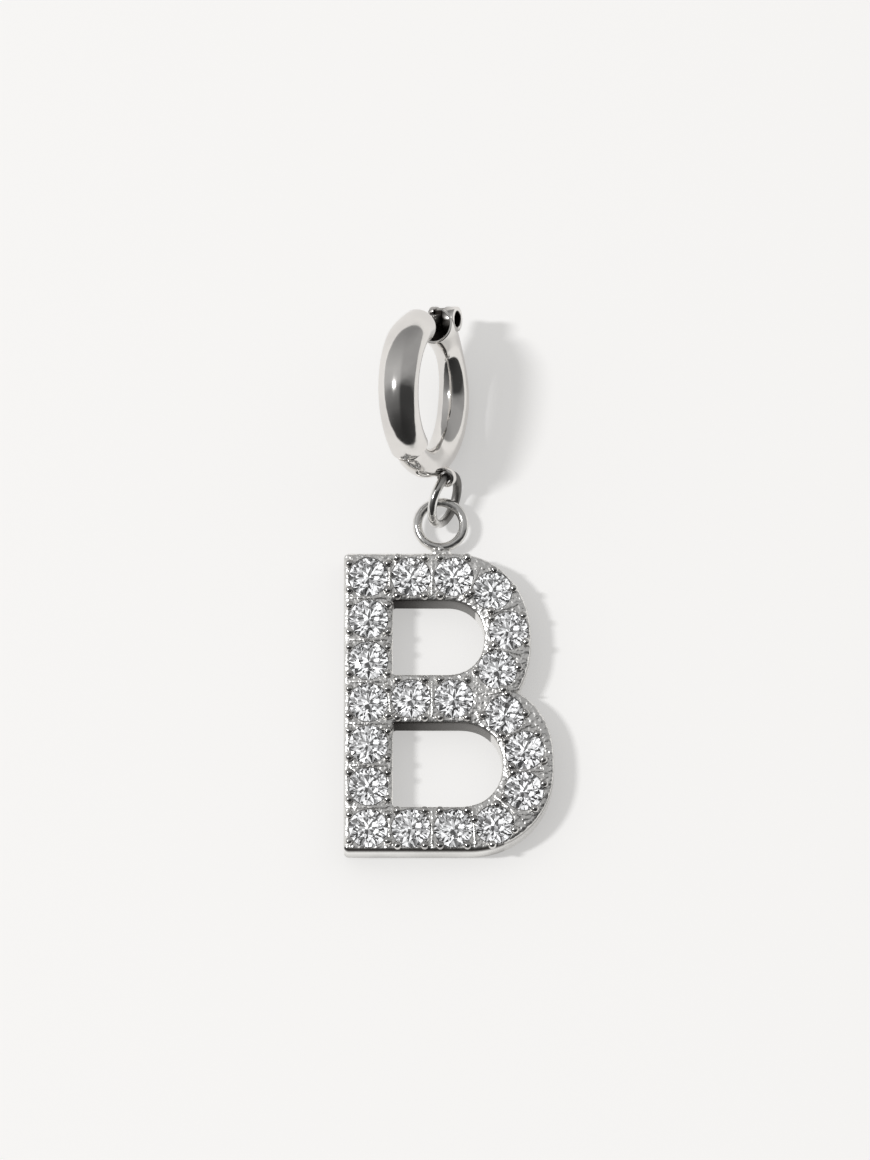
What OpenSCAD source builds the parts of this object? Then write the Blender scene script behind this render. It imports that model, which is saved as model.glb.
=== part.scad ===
// Initial pendant: a letter B set with round stones, a jump ring and a hinged hoop, lying on a flat surface.
// Millimetres. X runs across the letter, Y up the letter, Z up from the surface that the pendant lies on.
// The origin is on the letter's back, in the middle of its middle bar.

/* [Letter] */
// Width of the letter, across its lower bowl
letter_w = 10.5; // [10.2:0.1:11.4]
// Height of the letter
letter_h = 15.25; // [15.05:0.05:16.5]
// Thickness of the letter's plate
letter_t = 1.7; // [1.5:0.05:2.2]
// Width of the letter across its upper bowl
upper_bowl_w = 9.35; // [9.1:0.05:10]
// Length of the upper bowl's round end
upper_round = 3.95; // [3.6:0.05:4.3]
// Length of the lower bowl's round end
lower_round = 4.3; // [3.9:0.05:4.7]
// Width of the stem
stem_w = 2.45; // [2.35:0.05:2.8]
// Width of the top bar
top_bar = 2.45; // [2.35:0.05:2.7]
// Width of the middle bar
mid_bar = 2.5; // [2.35:0.05:2.7]
// Width of the bottom bar
bottom_bar = 2.25; // [2.2:0.05:2.6]
// Height of the middle bar's centre line above the letter's foot
mid_y = 7.77; // [7.55:0.02:8.05]
// Width of the upper bowl's wall at its widest reach
upper_wall = 2.35; // [2.3:0.05:2.7]
// Width of the lower bowl's wall at its widest reach
lower_wall = 2.6; // [2.35:0.05:2.8]
// Radius of the letter's left corners
corner_r = 0.25; // [0.1:0.05:0.5]
// Radius of the left corners of the two openings
counter_corner_r = 0.15; // [0.05:0.05:0.4]

/* [Stones] */
// Diameter of a stone
stone_d = 1.95; // [1.7:0.05:2]
// Diameter of a stone's table
table_d = 1.11; // [1:0.01:1.2]
// Height of a stone's crown
crown_h = 0.29; // [0.2:0.01:0.35]
// Height of a stone's girdle
girdle_h = 0.06; // [0.03:0.01:0.1]
// Depth of a stone's pavilion
pavilion_h = 0.84; // [0.7:0.01:0.9]
// Depth of the girdle's upper edge below the face of the plate
girdle_sink = 0.02; // [0:0.01:0.1]
// Clearance round a stone in its seat
stone_gap = 0.035; // [0.03:0.005:0.06]
// Tilt of a stone in its seat, in degrees
stone_tilt = 0.8; // [0:0.1:1]
// Distance between the stones along a bar
bar_pitch = 2.13; // [2.08:0.01:2.2]
// Diameter of the light hole behind a stone
light_hole_d = 1.1; // [0.8:0.05:1.3]

/* [Beads and cell walls] */
// Diameter of a bead
bead_d = 0.44; // [0.36:0.02:0.5]
// Distance of a bead from its stone's centre, across a straight stroke
bead_across = 0.97; // [0.9:0.01:1]
// Distance of a bead from its stone's centre, across a bowl
bowl_bead_across = 0.82; // [0.78:0.01:0.9]
// Distance of a bead from its stone's centre, along the stroke
bead_along = 0.68; // [0.62:0.01:0.74]
// Height of a bead's centre above the face of the plate
bead_rise = 0.06; // [0:0.01:0.12]
// Width of the wall between two cells
cell_wall_w = 0.12; // [0.08:0.01:0.14]
// Height of the wall between two cells above the face of the plate
cell_wall_h = 0.09; // [0.04:0.01:0.15]
// Length of the wall between two cells
cell_wall_l = 1.9; // [1.4:0.05:2]

/* [Letter ring] */
// Outer diameter of the ring soldered to the letter
letter_ring_d = 2.8; // [2.6:0.05:3.2]
// Wire diameter of the ring soldered to the letter
letter_ring_wire = 0.48; // [0.4:0.02:0.54]
// Distance of the soldered ring's middle from the letter's left edge
letter_ring_x = 4.83; // [3.5:0.01:6]
// Gap between the soldered ring and the letter, filled with solder
solder_gap = 0.25; // [0.15:0.01:0.3]
// Width of the solder between the ring and the letter
solder_d = 0.95; // [0.8:0.05:1.2]

/* [Jump ring] */
// Outer diameter of the jump ring
jump_ring_d = 3; // [2.9:0.02:3.2]
// Wire diameter of the jump ring
jump_ring_wire = 0.45; // [0.36:0.01:0.48]
// Tip of the jump ring out of the flat, in degrees
jump_tip = 70.6; // [68:0.2:73]
// Turn of the jump ring about the vertical, in degrees
jump_turn = -23.2; // [-27:0.2:-19]

/* [Hoop] */
// Mean radius of the hoop
hoop_r = 3.56; // [3.4:0.02:4]
// Radius of the frame's tube at the catch
tube_r = 0.735; // [0.7:0.005:0.8]
// Radius of the frame's tube at its belly, where the hoop rests
frame_belly_r = 0.785; // [0.74:0.005:0.85]
// Radius of the frame's waist, below the mouth
waist_r = 0.69; // [0.66:0.005:0.75]
// Lean of the standing hoop: the angle between its axis and the vertical, in degrees
hoop_lean = 67.4; // [64:0.2:70]
// Turn of the hoop about the vertical, in degrees
hoop_turn = -5.6; // [-8:0.2:-3]
// Half height of the gate at its foot, beside the catch
gate_foot_half_h = 0.88; // [0.78:0.01:0.95]
// Half width of the gate at its foot, beside the catch
gate_foot_half_w = 0.99; // [0.9:0.01:1.1]
// Half height of the gate at its belly
belly_half_h = 0.77; // [0.74:0.01:0.85]
// Half width of the gate at its belly
belly_half_w = 1.08; // [0.98:0.01:1.2]
// Half height of the gate's closed end, beside the hinge
gate_end_half_h = 0.88; // [0.82:0.01:0.95]
// Half width of the gate's closed end, beside the hinge
gate_end_half_w = 0.94; // [0.85:0.01:1]
// Half height of the frame's open mouth, below the hinge
mouth_half_h = 0.96; // [0.92:0.01:1]
// Half width of the frame's open mouth, below the hinge
mouth_half_w = 0.87; // [0.86:0.005:0.9]
// Wall round the hollow of the mouth
mouth_wall = 0.16; // [0.12:0.01:0.25]
// Depth of the hollow behind the mouth, in degrees round the hoop
mouth_depth = 14; // [8:1:16]
// Angle from the top of the hoop to the frame's mouth
mouth_at = 6; // [4:0.5:7]
// Angle from the top of the hoop to the gate's end
gate_end_at = 330; // [326:1:334]
// Angle from the top of the hoop to the catch
catch_at = 202; // [198:1:208]
// Gap between the two halves at the catch
catch_gap = 0.06; // [0.04:0.01:0.1]

/* [Hinge and catch] */
// Diameter of the hinge pin
pin_d = 0.74; // [0.6:0.02:0.76]
// Length of the hinge pin
pin_l = 1.1; // [1:0.05:1.2]
// Depth of the hinge pin's end in the back cheek
pin_sink = 0.04; // [0.02:0.01:0.06]
// Running clearance round the hinge pin
pin_gap = 0.03; // [0.02:0.01:0.05]
// Outer diameter of the hinge's cheeks
cheek_d = 1.26; // [1.2:0.02:1.4]
// Length over the two cheeks
cheeks_l = 1.4; // [1.35:0.05:1.6]
// Shift of the two cheeks along the pin, which makes the front cheek the longer one
cheeks_shift = 0.15; // [0.1:0.01:0.18]
// Width of the slot between the cheeks
slot_w = 0.48; // [0.44:0.02:0.54]
// Clearance between the knuckle and the slot
slot_gap = 0.06; // [0.05:0.01:0.08]
// Distance of the hinge pin outwards from the hoop's middle line
pin_out = 0.66; // [0.6:0.02:0.8]
// Angle from the top of the hoop to the hinge pin
pin_at = 15; // [14:0.5:18]
// Thickness of the tongue that carries the knuckle
tongue_t = 0.46; // [0.4:0.02:0.6]
// Width of the catch's bar
catch_w = 0.5; // [0.3:0.05:0.6]
// Length of the catch's bar
catch_l = 0.6; // [0.4:0.05:0.7]
// Clearance round the catch's bar
catch_room = 0.08; // [0.06:0.01:0.12]

/* [Eye] */
// Thickness of the eye soldered under the hoop
eye_wire = 0.22; // [0.18:0.01:0.26]
// Width of the eye, along the jump ring's wire
eye_w = 0.42; // [0.3:0.02:0.5]
// Clearance between the jump ring and the eye
eye_gap = 0.06; // [0.05:0.01:0.1]
// Clearance between the jump ring and the hoop
hang_gap = 0.05; // [0.04:0.01:0.1]

/* [Hidden] */
$fn = 24;
// How far a cut runs past a face
over = 0.01;

// Shape of the letter's round ends, from 2 for an ellipse towards a square. Columns: upper half, lower half
upper_power = [2.15, 2.15];
lower_power = [2.4, 2.1];
counter_power = [2.2, 2.2];
bowl_steps = 28;
corner_steps = 4;

// How far the upper bowl's oval runs below the middle bar's centre line, and the lower bowl's oval above it
upper_lap = 1.32;
lower_lap = 0.88;
upper_foot = mid_y - upper_lap;
lower_head = mid_y + lower_lap;

// The round ends of the two openings, as shares of their length
upper_counter_share = 0.42;
lower_counter_share = 0.4;
upper_counter_round = (upper_bowl_w - upper_wall - stem_w) * upper_counter_share;
lower_counter_round = (letter_w - lower_wall - stem_w) * lower_counter_share;

// Lines through the middle of the bars
top_y = letter_h - top_bar / 2;
bottom_y = bottom_bar / 2;
stem_x = stem_w / 2;

// The round ends of the bowls and of their openings. Columns: reach, length, foot, head, powers
UPPER_OUTSIDE = [upper_bowl_w, upper_round, upper_foot, letter_h, upper_power];
UPPER_INSIDE = [upper_bowl_w - upper_wall, upper_counter_round, mid_y + mid_bar / 2, letter_h - top_bar,
                counter_power];
LOWER_OUTSIDE = [letter_w, lower_round, 0, lower_head, lower_power];
LOWER_INSIDE = [letter_w - lower_wall, lower_counter_round, bottom_bar, mid_y - mid_bar / 2, counter_power];

// The bowls' stones: angle round the bowl in degrees, and share of the way from the outside to the opening
// Columns: angle, share
UPPER_BOWL = [[46.4, 0.445], [5.8, 0.47], [-30.8, 0.56]];
LOWER_BOWL = [[52.4, 0.53], [11, 0.55], [-22.5, 0.49], [-64.4, 0.44]];

// Distance between two stones at which their seats meet, and how many steps of at least that the stem has
stone_step = stone_d + 2 * stone_gap;
stem_steps = floor((top_y - bottom_y) / stone_step);
stem_pitch = (top_y - bottom_y) / stem_steps;

// Sizes of a stone and its place in the plate
stone_r = stone_d / 2;
table_r = table_d / 2;
girdle_z = letter_t - girdle_sink;
culet_z = girdle_z - girdle_h - pavilion_h;
// Angle between two corners of the girdle, and the reach of the facets below the table and above the culet
half_step = 22.5;
star_r = (table_r * cos(half_step) + stone_r) / 2;
lower_half_share = 0.24;
lower_half_r = lower_half_share * stone_r;
// Distance of the beads from the letter's edges
bead_inset = 0.02;
bowl_bead_inset = 0.08;
// Turn from one stone to the next, of its facets and of its tilt
stone_turn = 37;
tilt_turn = 137.5;

// Lumps of the solder, as shares of its width. Columns: place across, place up, diameter
SOLDER = [[-0.22, 0, 0.75], [0.24, 0, 0.66], [0, 0.26, 0.58]];

// Place of the soldered ring
letter_ring_at = [letter_ring_x, letter_h + solder_gap + letter_ring_d / 2, letter_t / 2];

// Place of the jump ring: it rests on the surface, goes through the soldered ring and holds the hoop's eye
// The two angles go round the jump ring, and the offset is from the soldered ring's centre
jump_r = (jump_ring_d - jump_ring_wire) / 2;
through_at = -62;
through_offset = [-0.06, 0.06];
eye_at = 134;
function jump_turned(angle, r = jump_r) =
    [r * (cos(angle) * cos(jump_tip) * cos(jump_turn) - sin(angle) * sin(jump_turn)),
     r * (cos(angle) * cos(jump_tip) * sin(jump_turn) + sin(angle) * cos(jump_turn)),
     -r * cos(angle) * sin(jump_tip)];
jump_through = jump_turned(through_at);
jump_at = [letter_ring_at.x + through_offset.x - jump_through.x,
           letter_ring_at.y + through_offset.y - jump_through.y,
           jump_r * sin(jump_tip) + jump_ring_wire / 2];
hang_at = jump_at + jump_turned(eye_at);

// Angles from the top of the hoop to the frame's waist, to the place where it rests and to the gate's belly
waist_at = 44;
rest_at = 90;
gate_belly_at = 305;

// Stations of the hoop's two arms, round from the top. Columns: angle, half height, half width
FRAME = [[mouth_at, mouth_half_h, mouth_half_w], [waist_at, waist_r, waist_r],
         [rest_at, frame_belly_r, frame_belly_r], [catch_at, tube_r, tube_r]];
GATE = [[catch_at, gate_foot_half_h, gate_foot_half_w], [gate_belly_at, belly_half_h, belly_half_w],
        [gate_end_at, gate_end_half_h, gate_end_half_w]];

// Place of the hoop: its belly rests on the surface, and the jump ring hangs beside its tube at the eye
hang_near = 150;
hang_side = 36;
hang_r = half_at(FRAME, hang_near)[0] + hang_gap + jump_ring_wire / 2;
hang_rho = hoop_r + hang_r * cos(hang_side);
hang_n = hang_r * sin(hang_side);
hoop_z = hoop_r * sin(hoop_lean) + frame_belly_r;
hang_theta = 180 - asin((hoop_z + hang_n * cos(hoop_lean) - hang_at.z) / (hang_rho * sin(hoop_lean)));
hang_across = hang_rho * sin(hang_theta) * cos(hoop_lean) + hang_n * sin(hoop_lean);
hang_along = hang_rho * cos(hang_theta);
hoop_at = [hang_at.x - hang_across * cos(hoop_turn) + hang_along * sin(hoop_turn),
           hang_at.y - hang_across * sin(hoop_turn) - hang_along * cos(hoop_turn),
           hoop_z];
eye_r = (jump_ring_wire + eye_wire) / 2 + eye_gap;

// Hinge and catch, in the hoop's own plane
pin_rho = hoop_r + pin_out;
pin_xy = pin_rho * [sin(pin_at), cos(pin_at)];
cheeks_foot = cheeks_shift - cheeks_l / 2;
knuckle_r = cheek_d / 2 - slot_gap;
catch_half_gap = catch_gap / 2 / hoop_r * 180 / PI;
// Where the tongue starts in the gate's end: degrees back from the end, and out from the hoop's middle line
tongue_back = 3;
tongue_out = 0.22;
tongue_root_at = gate_end_at - tongue_back;
tongue_root = (hoop_r + tongue_out) * [sin(tongue_root_at), cos(tongue_root_at)];
tongue_l = norm(pin_xy - tongue_root);
tongue_turn = atan2(tongue_root.y - pin_xy.y, tongue_root.x - pin_xy.x);
// How deep the catch's bar is rooted in the gate's foot
catch_root = 0.18;

// The tube's sections: corners of a section, degrees between two, and the dome over the gate's end
tube_sides = 20;
tube_step = 7;
dome_h = 0.22;
dome_tilts = [25, 50, 72];

// The origin lies between the two stones of the middle bar
origin = [stem_x + 1.5 * bar_pitch, mid_y, 0];

metal = "gainsboro";
dark_metal = "silver";
clear = "azure";

function smooth(t) = t <= 0 ? 0 : t >= 1 ? 1 : t * t * (3 - 2 * t);

// The half height and half width of an arm between two stations of its table
function half_at(table, angle, i = 0) =
    i < len(table) - 2 && angle > table[i + 1][0] ? half_at(table, angle, i + 1)
    : let (a = table[i], b = table[i + 1], t = smooth((angle - a[0]) / (b[0] - a[0])))
      [a[1] + (b[1] - a[1]) * t, a[2] + (b[2] - a[2]) * t];

// A point of a round end at an angle round it
function bowl_point(angle, end) =
    let (x = end[0], a = end[1], y0 = end[2], y1 = end[3], p = 2 / end[4][sin(angle) < 0 ? 1 : 0])
    [x - a + a * pow(abs(cos(angle)), p),
     (y0 + y1) / 2 + sign(sin(angle)) * (y1 - y0) / 2 * pow(abs(sin(angle)), p)];

// How far across a bar of this width its beads stand
function bead_reach(bar) = min(bead_across, (bar - bead_d) / 2 - bead_inset);

// A row of a table, or a place between two of its rows
function table_row(table, place) =
    let (i = min(floor(place), len(table) - 2)) table[i] + (table[i + 1] - table[i]) * (place - i);

// A stone's row: its middle, the direction of its stroke and how far across it its beads stand
function bowl_stone(out, in, row) =
    let (a = bowl_point(row[0], out), b = bowl_point(row[0], in), across = a - b)
    [a * (1 - row[1]) + b * row[1], atan2(across.y, across.x) + 90,
     min(bowl_bead_across, row[1] * norm(across) - bead_d / 2 - bowl_bead_inset)];

function run_length(run, i = 1) =
    i < len(run) ? norm(run[i][0] - run[i - 1][0]) + run_length(run, i + 1) : 0;

// The stones of a bowl, from the first row of its table to the last: as many as its length has room for
function bowl_stones(out, in, table) =
    let (run = [for (row = table) bowl_stone(out, in, row)],
         steps = max(1, floor(run_length(run) / stone_step)))
    [for (i = [0 : steps]) bowl_stone(out, in, table_row(table, i * (len(table) - 1) / steps))];

// The stones of a bar, from the stem on: as many as stand clear of the bowls' stones next to it
function bar_stones(y, bar, bowl_ends) =
    [for (i = [1 : 1 : (min([for (end = bowl_ends) end[0].x]) - stem_x) / bar_pitch])
        let (middle = [stem_x + i * bar_pitch, y])
        if (min([for (end = bowl_ends) norm(middle - end[0])]) > stone_step) [middle, 0, bead_reach(bar)]];

function reversed(list) = [for (i = [len(list) - 1 : -1 : 0]) list[i]];

STEM = [for (i = [0 : stem_steps]) [[stem_x, bottom_y + i * stem_pitch], 90, bead_reach(stem_w)]];
UPPER = bowl_stones(UPPER_OUTSIDE, UPPER_INSIDE, UPPER_BOWL);
LOWER = bowl_stones(LOWER_OUTSIDE, LOWER_INSIDE, LOWER_BOWL);
TOP_BAR = bar_stones(top_y, top_bar, [UPPER[0]]);
MID_BAR = bar_stones(mid_y, mid_bar, [reversed(UPPER)[0], LOWER[0]]);
BOTTOM_BAR = bar_stones(bottom_y, bottom_bar, [reversed(LOWER)[0]]);
STONES = concat(STEM, TOP_BAR, UPPER, MID_BAR, LOWER, BOTTOM_BAR);

// The runs of stones with a wall between each two neighbours
RUNS = [
    STEM,
    concat([reversed(STEM)[0]], TOP_BAR, UPPER),
    concat([STEM[round((mid_y - bottom_y) / stem_pitch)]], MID_BAR),
    concat([STEM[0]], BOTTOM_BAR, reversed(LOWER), [reversed(UPPER)[0]])
];

function stone_name(i) = str("stone_", i < 9 ? "0" : "", i + 1);

// A plate outline with a round right end and two small round left corners
module d_outline(left, end, corner)
    polygon(concat(
        [for (i = [0 : bowl_steps]) bowl_point(90 - 180 * i / bowl_steps, end)],
        [for (i = [0 : corner_steps])
            [left + corner, end[2] + corner] + corner * [-sin(90 * i / corner_steps), -cos(90 * i / corner_steps)]],
        [for (i = [0 : corner_steps])
            [left + corner, end[3] - corner] + corner * [-cos(90 * i / corner_steps), sin(90 * i / corner_steps)]]));

module letter_outline()
    difference() {
        union() {
            d_outline(0, UPPER_OUTSIDE, corner_r);
            d_outline(0, LOWER_OUTSIDE, corner_r);
        }
        d_outline(stem_w, UPPER_INSIDE, counter_corner_r);
        d_outline(stem_w, LOWER_INSIDE, counter_corner_r);
    }

// The space of a stone in the plate and under its beads, with its light hole behind it
module seat() {
    pavilion_slope = pavilion_h / stone_r;
    crown_slope = crown_h / (stone_r - table_r);
    under = culet_z - stone_gap * sqrt(1 + pavilion_slope * pavilion_slope);
    above = girdle_z + stone_gap * sqrt(1 + crown_slope * crown_slope);
    hole_r = light_hole_d / 2;
    seat_r = stone_r + stone_gap;
    rotate_extrude()
        polygon([[0, -over], [hole_r, -over], [hole_r, under + hole_r * pavilion_slope],
                 [seat_r, under + seat_r * pavilion_slope], [seat_r, above - stone_gap * crown_slope],
                 [table_r, above + crown_h], [table_r, letter_t + bead_d], [0, letter_t + bead_d]]);
}

module beads(across)
    for (sx = [-1, 1], sy = [-1, 1])
        translate([sx * bead_along, sy * across, letter_t + bead_rise]) sphere(d = bead_d);

module cell_wall(a, b)
    translate(concat((a + b) / 2, [letter_t]))
        rotate(atan2(b.y - a.y, b.x - a.x))
            translate([-cell_wall_w / 2, -cell_wall_l / 2, -cell_wall_h])
                cube([cell_wall_w, cell_wall_l, 2 * cell_wall_h]);

module ring(outer_d, wire)
    rotate_extrude() translate([(outer_d - wire) / 2, 0]) circle(d = wire);

module solder() {
    foot_y = letter_h + solder_gap / 2;
    for (lump = SOLDER)
        translate([letter_ring_x + lump[0] * solder_d, foot_y + lump[1] * solder_d, letter_t / 2])
            sphere(d = lump[2] * solder_d);
}

module letter_setting()
    color(metal)
    difference() {
        union() {
            linear_extrude(letter_t) letter_outline();
            for (row = STONES) translate(row[0]) rotate(row[1]) beads(row[2]);
            for (run = RUNS, i = [1 : len(run) - 1]) cell_wall(run[i - 1][0], run[i][0]);
            translate(letter_ring_at) ring(letter_ring_d, letter_ring_wire);
            solder();
        }
        for (row = STONES) translate(row[0]) seat();
    }

// A round brilliant, with its girdle's upper edge at height 0
module brilliant() {
    crown_slope = crown_h / (stone_r - table_r);
    pavilion_slope = pavilion_h / stone_r;
    star_z = crown_slope * (stone_r - star_r * cos(half_step));
    lower_half_z = -girdle_h - pavilion_h + pavilion_slope * lower_half_r * cos(half_step);
    points = concat(
        [for (k = [0 : 7]) [table_r * cos(half_step + 45 * k), table_r * sin(half_step + 45 * k), crown_h]],
        [for (k = [0 : 7]) [star_r * cos(45 * k), star_r * sin(45 * k), star_z]],
        [for (k = [0 : 15]) [stone_r * cos(half_step * k), stone_r * sin(half_step * k), 0]],
        [for (k = [0 : 15]) [stone_r * cos(half_step * k), stone_r * sin(half_step * k), -girdle_h]],
        [for (k = [0 : 7]) [lower_half_r * cos(45 * k), lower_half_r * sin(45 * k), lower_half_z]],
        [[0, 0, -girdle_h - pavilion_h]]);
    star = 8;
    upper = 16;
    lower = 32;
    half = 48;
    culet = 56;
    faces = concat(
        [[for (k = [7 : -1 : 0]) k]],
        [for (k = [0 : 7]) [(k + 7) % 8, k, star + k]],
        [for (k = [0 : 7]) [k, star + (k + 1) % 8, upper + 2 * k + 1, star + k]],
        [for (k = [0 : 7]) [star + k, upper + 2 * k + 1, upper + 2 * k]],
        [for (k = [0 : 7]) [star + k, upper + 2 * k, upper + (2 * k + 15) % 16]],
        [for (k = [0 : 15]) [upper + k, upper + (k + 1) % 16, lower + (k + 1) % 16, lower + k]],
        [for (k = [0 : 7]) [half + k, lower + 2 * k, lower + 2 * k + 1]],
        [for (k = [0 : 7]) [half + k, lower + (2 * k + 15) % 16, lower + 2 * k]],
        [for (k = [0 : 7]) [culet, half + k, lower + 2 * k + 1, half + (k + 1) % 8]]);
    polyhedron(points, faces);
}

module stone(i)
    color(clear)
    translate(concat(STONES[i][0], [girdle_z]))
        rotate(tilt_turn * i) rotate([stone_tilt, 0, 0]) rotate(stone_turn * i)
            brilliant();

// The jump ring's own plane
module jump_place()
    translate(jump_at) rotate([0, jump_tip, jump_turn]) children();

// The hoop's own plane: X leans down towards the surface, Y runs up the letter, Z is the hoop's axis
module hoop_place()
    translate(hoop_at) rotate([0, hoop_lean, hoop_turn]) children();

module jump_ring()
    color(metal) jump_place() ring(jump_ring_d, jump_ring_wire);

module eye()
    jump_place() rotate(eye_at) translate([jump_r, 0, 0]) rotate([90, 0, 0])
        rotate_extrude() translate([eye_r, 0]) {
            side = (eye_w - eye_wire) / 2;
            square([eye_wire, 2 * side], center = true);
            for (end = [-1, 1]) translate([0, end * side]) circle(d = eye_wire);
        }

// A section of an arm. Columns: angle, distance from the hoop's axis, half height, half width
function frame_section(angle) =
    let (half = half_at(FRAME, angle)) [angle, hoop_r, half[0], half[1]];

function gate_section(angle) =
    let (half = half_at(GATE, angle)) [angle, hoop_r + tube_r - half[0], half[0], half[1]];

// A section of the dome that closes the gate's end, tilt degrees round it
function dome_section(tilt) =
    let (end = gate_section(gate_end_at))
    [end[0] + sin(tilt) * dome_h / end[1] * 180 / PI, end[1], end[2] * cos(tilt), end[3] * cos(tilt)];

module tube(sections) {
    last = len(sections) - 1;
    points = [for (s = sections, j = [0 : tube_sides - 1])
        let (rho = s[1] + s[2] * cos(360 * j / tube_sides))
        [rho * sin(s[0]), rho * cos(s[0]), s[3] * sin(360 * j / tube_sides)]];
    sides = [for (i = [0 : last - 1], j = [0 : tube_sides - 1])
        let (k = (j + 1) % tube_sides, a = i * tube_sides, b = a + tube_sides)
        [a + j, b + j, b + k, a + k]];
    ends = [[for (j = [0 : tube_sides - 1]) j],
            [for (j = [tube_sides - 1 : -1 : 0]) last * tube_sides + j]];
    polyhedron(points, concat(sides, ends), convexity = 6);
}

function spread(a, b, step) = let (n = ceil((b - a) / step)) [for (i = [0 : n]) a + (b - a) * i / n];

// A place on the hoop's middle line, with X pointing out of the hoop and Y along the tube away from the top
module on_tube(angle, rho)
    rotate(90 - angle) translate([rho, 0, 0]) mirror([0, 1, 0]) children();

// The room that the knuckle and its tongue need, also as the gate swings out
module knuckle_room()
    translate([pin_xy.x, pin_xy.y, -slot_w / 2])
        linear_extrude(slot_w) {
            circle(r = knuckle_r + slot_gap);
            rotate(tongue_turn) translate([0, -2 * hoop_r])
                square([2 * hoop_r, 2 * hoop_r + tongue_t / 2 + slot_gap]);
        }

module frame_solid()
    difference() {
        union() {
            difference() {
                tube([for (a = spread(mouth_at, catch_at - catch_half_gap, tube_step)) frame_section(a)]);
                mouth_space();
            }
            translate(concat(pin_xy, [cheeks_foot])) cylinder(d = cheek_d, h = cheeks_l);
        }
        knuckle_room();
        pin_bore();
        on_tube(catch_at, hoop_r)
            translate([0, -catch_l / 2 - catch_room / 2 + over, 0])
                cube([catch_w + 2 * catch_room, catch_l + catch_room + 2 * over, catch_w + 2 * catch_room],
                     center = true);
    }

module pin_bore()
    translate(concat(pin_xy, [-cheeks_l])) cylinder(r = pin_d / 2 + pin_gap, h = 2 * cheeks_l);

// The hollow behind the frame's mouth, which runs a degree past its rim
module mouth_space()
    rotate(90 - mouth_at - mouth_depth)
        rotate_extrude(angle = mouth_depth + 1)
            translate([hoop_r, 0]) {
                bore = mouth_half_w - mouth_wall;
                stretch = mouth_half_h - mouth_half_w;
                square(2 * [stretch, bore], center = true);
                for (side = [-1, 1]) translate([side * stretch, 0]) circle(r = bore);
            }

module hoop_frame()
    color(metal)
    union() {
        hoop_place() frame_solid();
        eye();
    }

module hoop_gate()
    color(metal)
    hoop_place()
    difference() {
        union() {
            tube(concat([for (a = spread(catch_at + catch_half_gap, gate_end_at, tube_step)) gate_section(a)],
                        [for (tilt = dome_tilts) dome_section(tilt)]));
            translate([pin_xy.x, pin_xy.y, slot_gap - slot_w / 2])
                linear_extrude(slot_w - 2 * slot_gap) {
                    circle(r = knuckle_r);
                    rotate(tongue_turn) translate([0, -tongue_t / 2]) square([tongue_l, tongue_t]);
                }
            on_tube(catch_at, hoop_r)
                translate([0, (catch_root - catch_l) / 2, 0])
                    cube([catch_w, catch_l + catch_root, catch_w], center = true);
        }
        pin_bore();
    }

module hinge_pin()
    color(dark_metal)
    hoop_place() translate(concat(pin_xy, [cheeks_foot + pin_sink])) cylinder(d = pin_d, h = pin_l);

translate(-origin) {
    letter_setting();
    for (i = [0 : len(STONES) - 1])
        stone(i);
    jump_ring();
    hoop_frame();
    hoop_gate();
    hinge_pin();
}
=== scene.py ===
"""The looks of an initial pendant on a table: a letter B set with stones, and its hinged hoop."""

import logging
import math
from dataclasses import dataclass
from enum import Enum
from typing import Callable, Iterable, Sequence

import bmesh
import bpy
from mathutils import Matrix, Vector


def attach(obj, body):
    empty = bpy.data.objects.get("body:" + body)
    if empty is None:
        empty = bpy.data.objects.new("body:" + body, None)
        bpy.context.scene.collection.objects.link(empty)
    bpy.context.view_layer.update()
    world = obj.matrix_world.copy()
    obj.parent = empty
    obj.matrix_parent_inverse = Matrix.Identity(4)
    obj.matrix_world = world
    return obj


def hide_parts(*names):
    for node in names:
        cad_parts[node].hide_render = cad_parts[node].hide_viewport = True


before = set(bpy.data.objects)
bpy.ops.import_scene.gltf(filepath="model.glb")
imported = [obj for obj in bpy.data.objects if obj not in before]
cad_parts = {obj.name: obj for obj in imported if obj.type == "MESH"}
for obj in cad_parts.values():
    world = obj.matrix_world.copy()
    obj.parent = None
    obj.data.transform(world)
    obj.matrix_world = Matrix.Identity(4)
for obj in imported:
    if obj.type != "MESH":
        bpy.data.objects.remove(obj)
log = logging.getLogger("pendant")

MM = 0.001  # one millimetre, in metres
TURN = 2 * math.pi
STEPS = 64  # steps round a turned part
MERGE_DIST = 1e-5  # points closer than this are one, in millimetres
SHARP_ANGLE = math.radians(35)  # faces that meet at more than this keep a sharp edge
HALVINGS = 50  # steps of a search by halving

Point = tuple[float, float]
Colour = tuple[float, float, float]
Rule = Callable[[bmesh.types.BMVert], float]
Mesh = bmesh.types.BMesh
Material = bpy.types.Material
Socket = bpy.types.NodeSocket
Tree = bpy.types.NodeTree


class Body(Enum):
    """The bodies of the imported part."""

    PENDANT = "pendant"
    GATE = "gate"


class Cheek(Enum):
    """The two cheeks of the hinge, by the side of the slot that they stand on."""

    BACK = -1
    FRONT = 1


# Mesh helpers, in millimetres


def clean(bm: Mesh) -> Mesh:
    """Merges doubled points and turns the faces outwards."""
    bmesh.ops.remove_doubles(bm, verts=bm.verts, dist=MERGE_DIST)
    bmesh.ops.recalc_face_normals(bm, faces=bm.faces)
    return bm


def placed(bm: Mesh, matrix: Matrix) -> Mesh:
    """Moves a mesh to its place."""
    bmesh.ops.transform(bm, matrix=matrix, verts=bm.verts)
    return bm


def turned(angle: float, axis: str = "Z") -> Matrix:
    """Gives a turn about an axis, in degrees."""
    return Matrix.Rotation(math.radians(angle), 4, axis)


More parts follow.
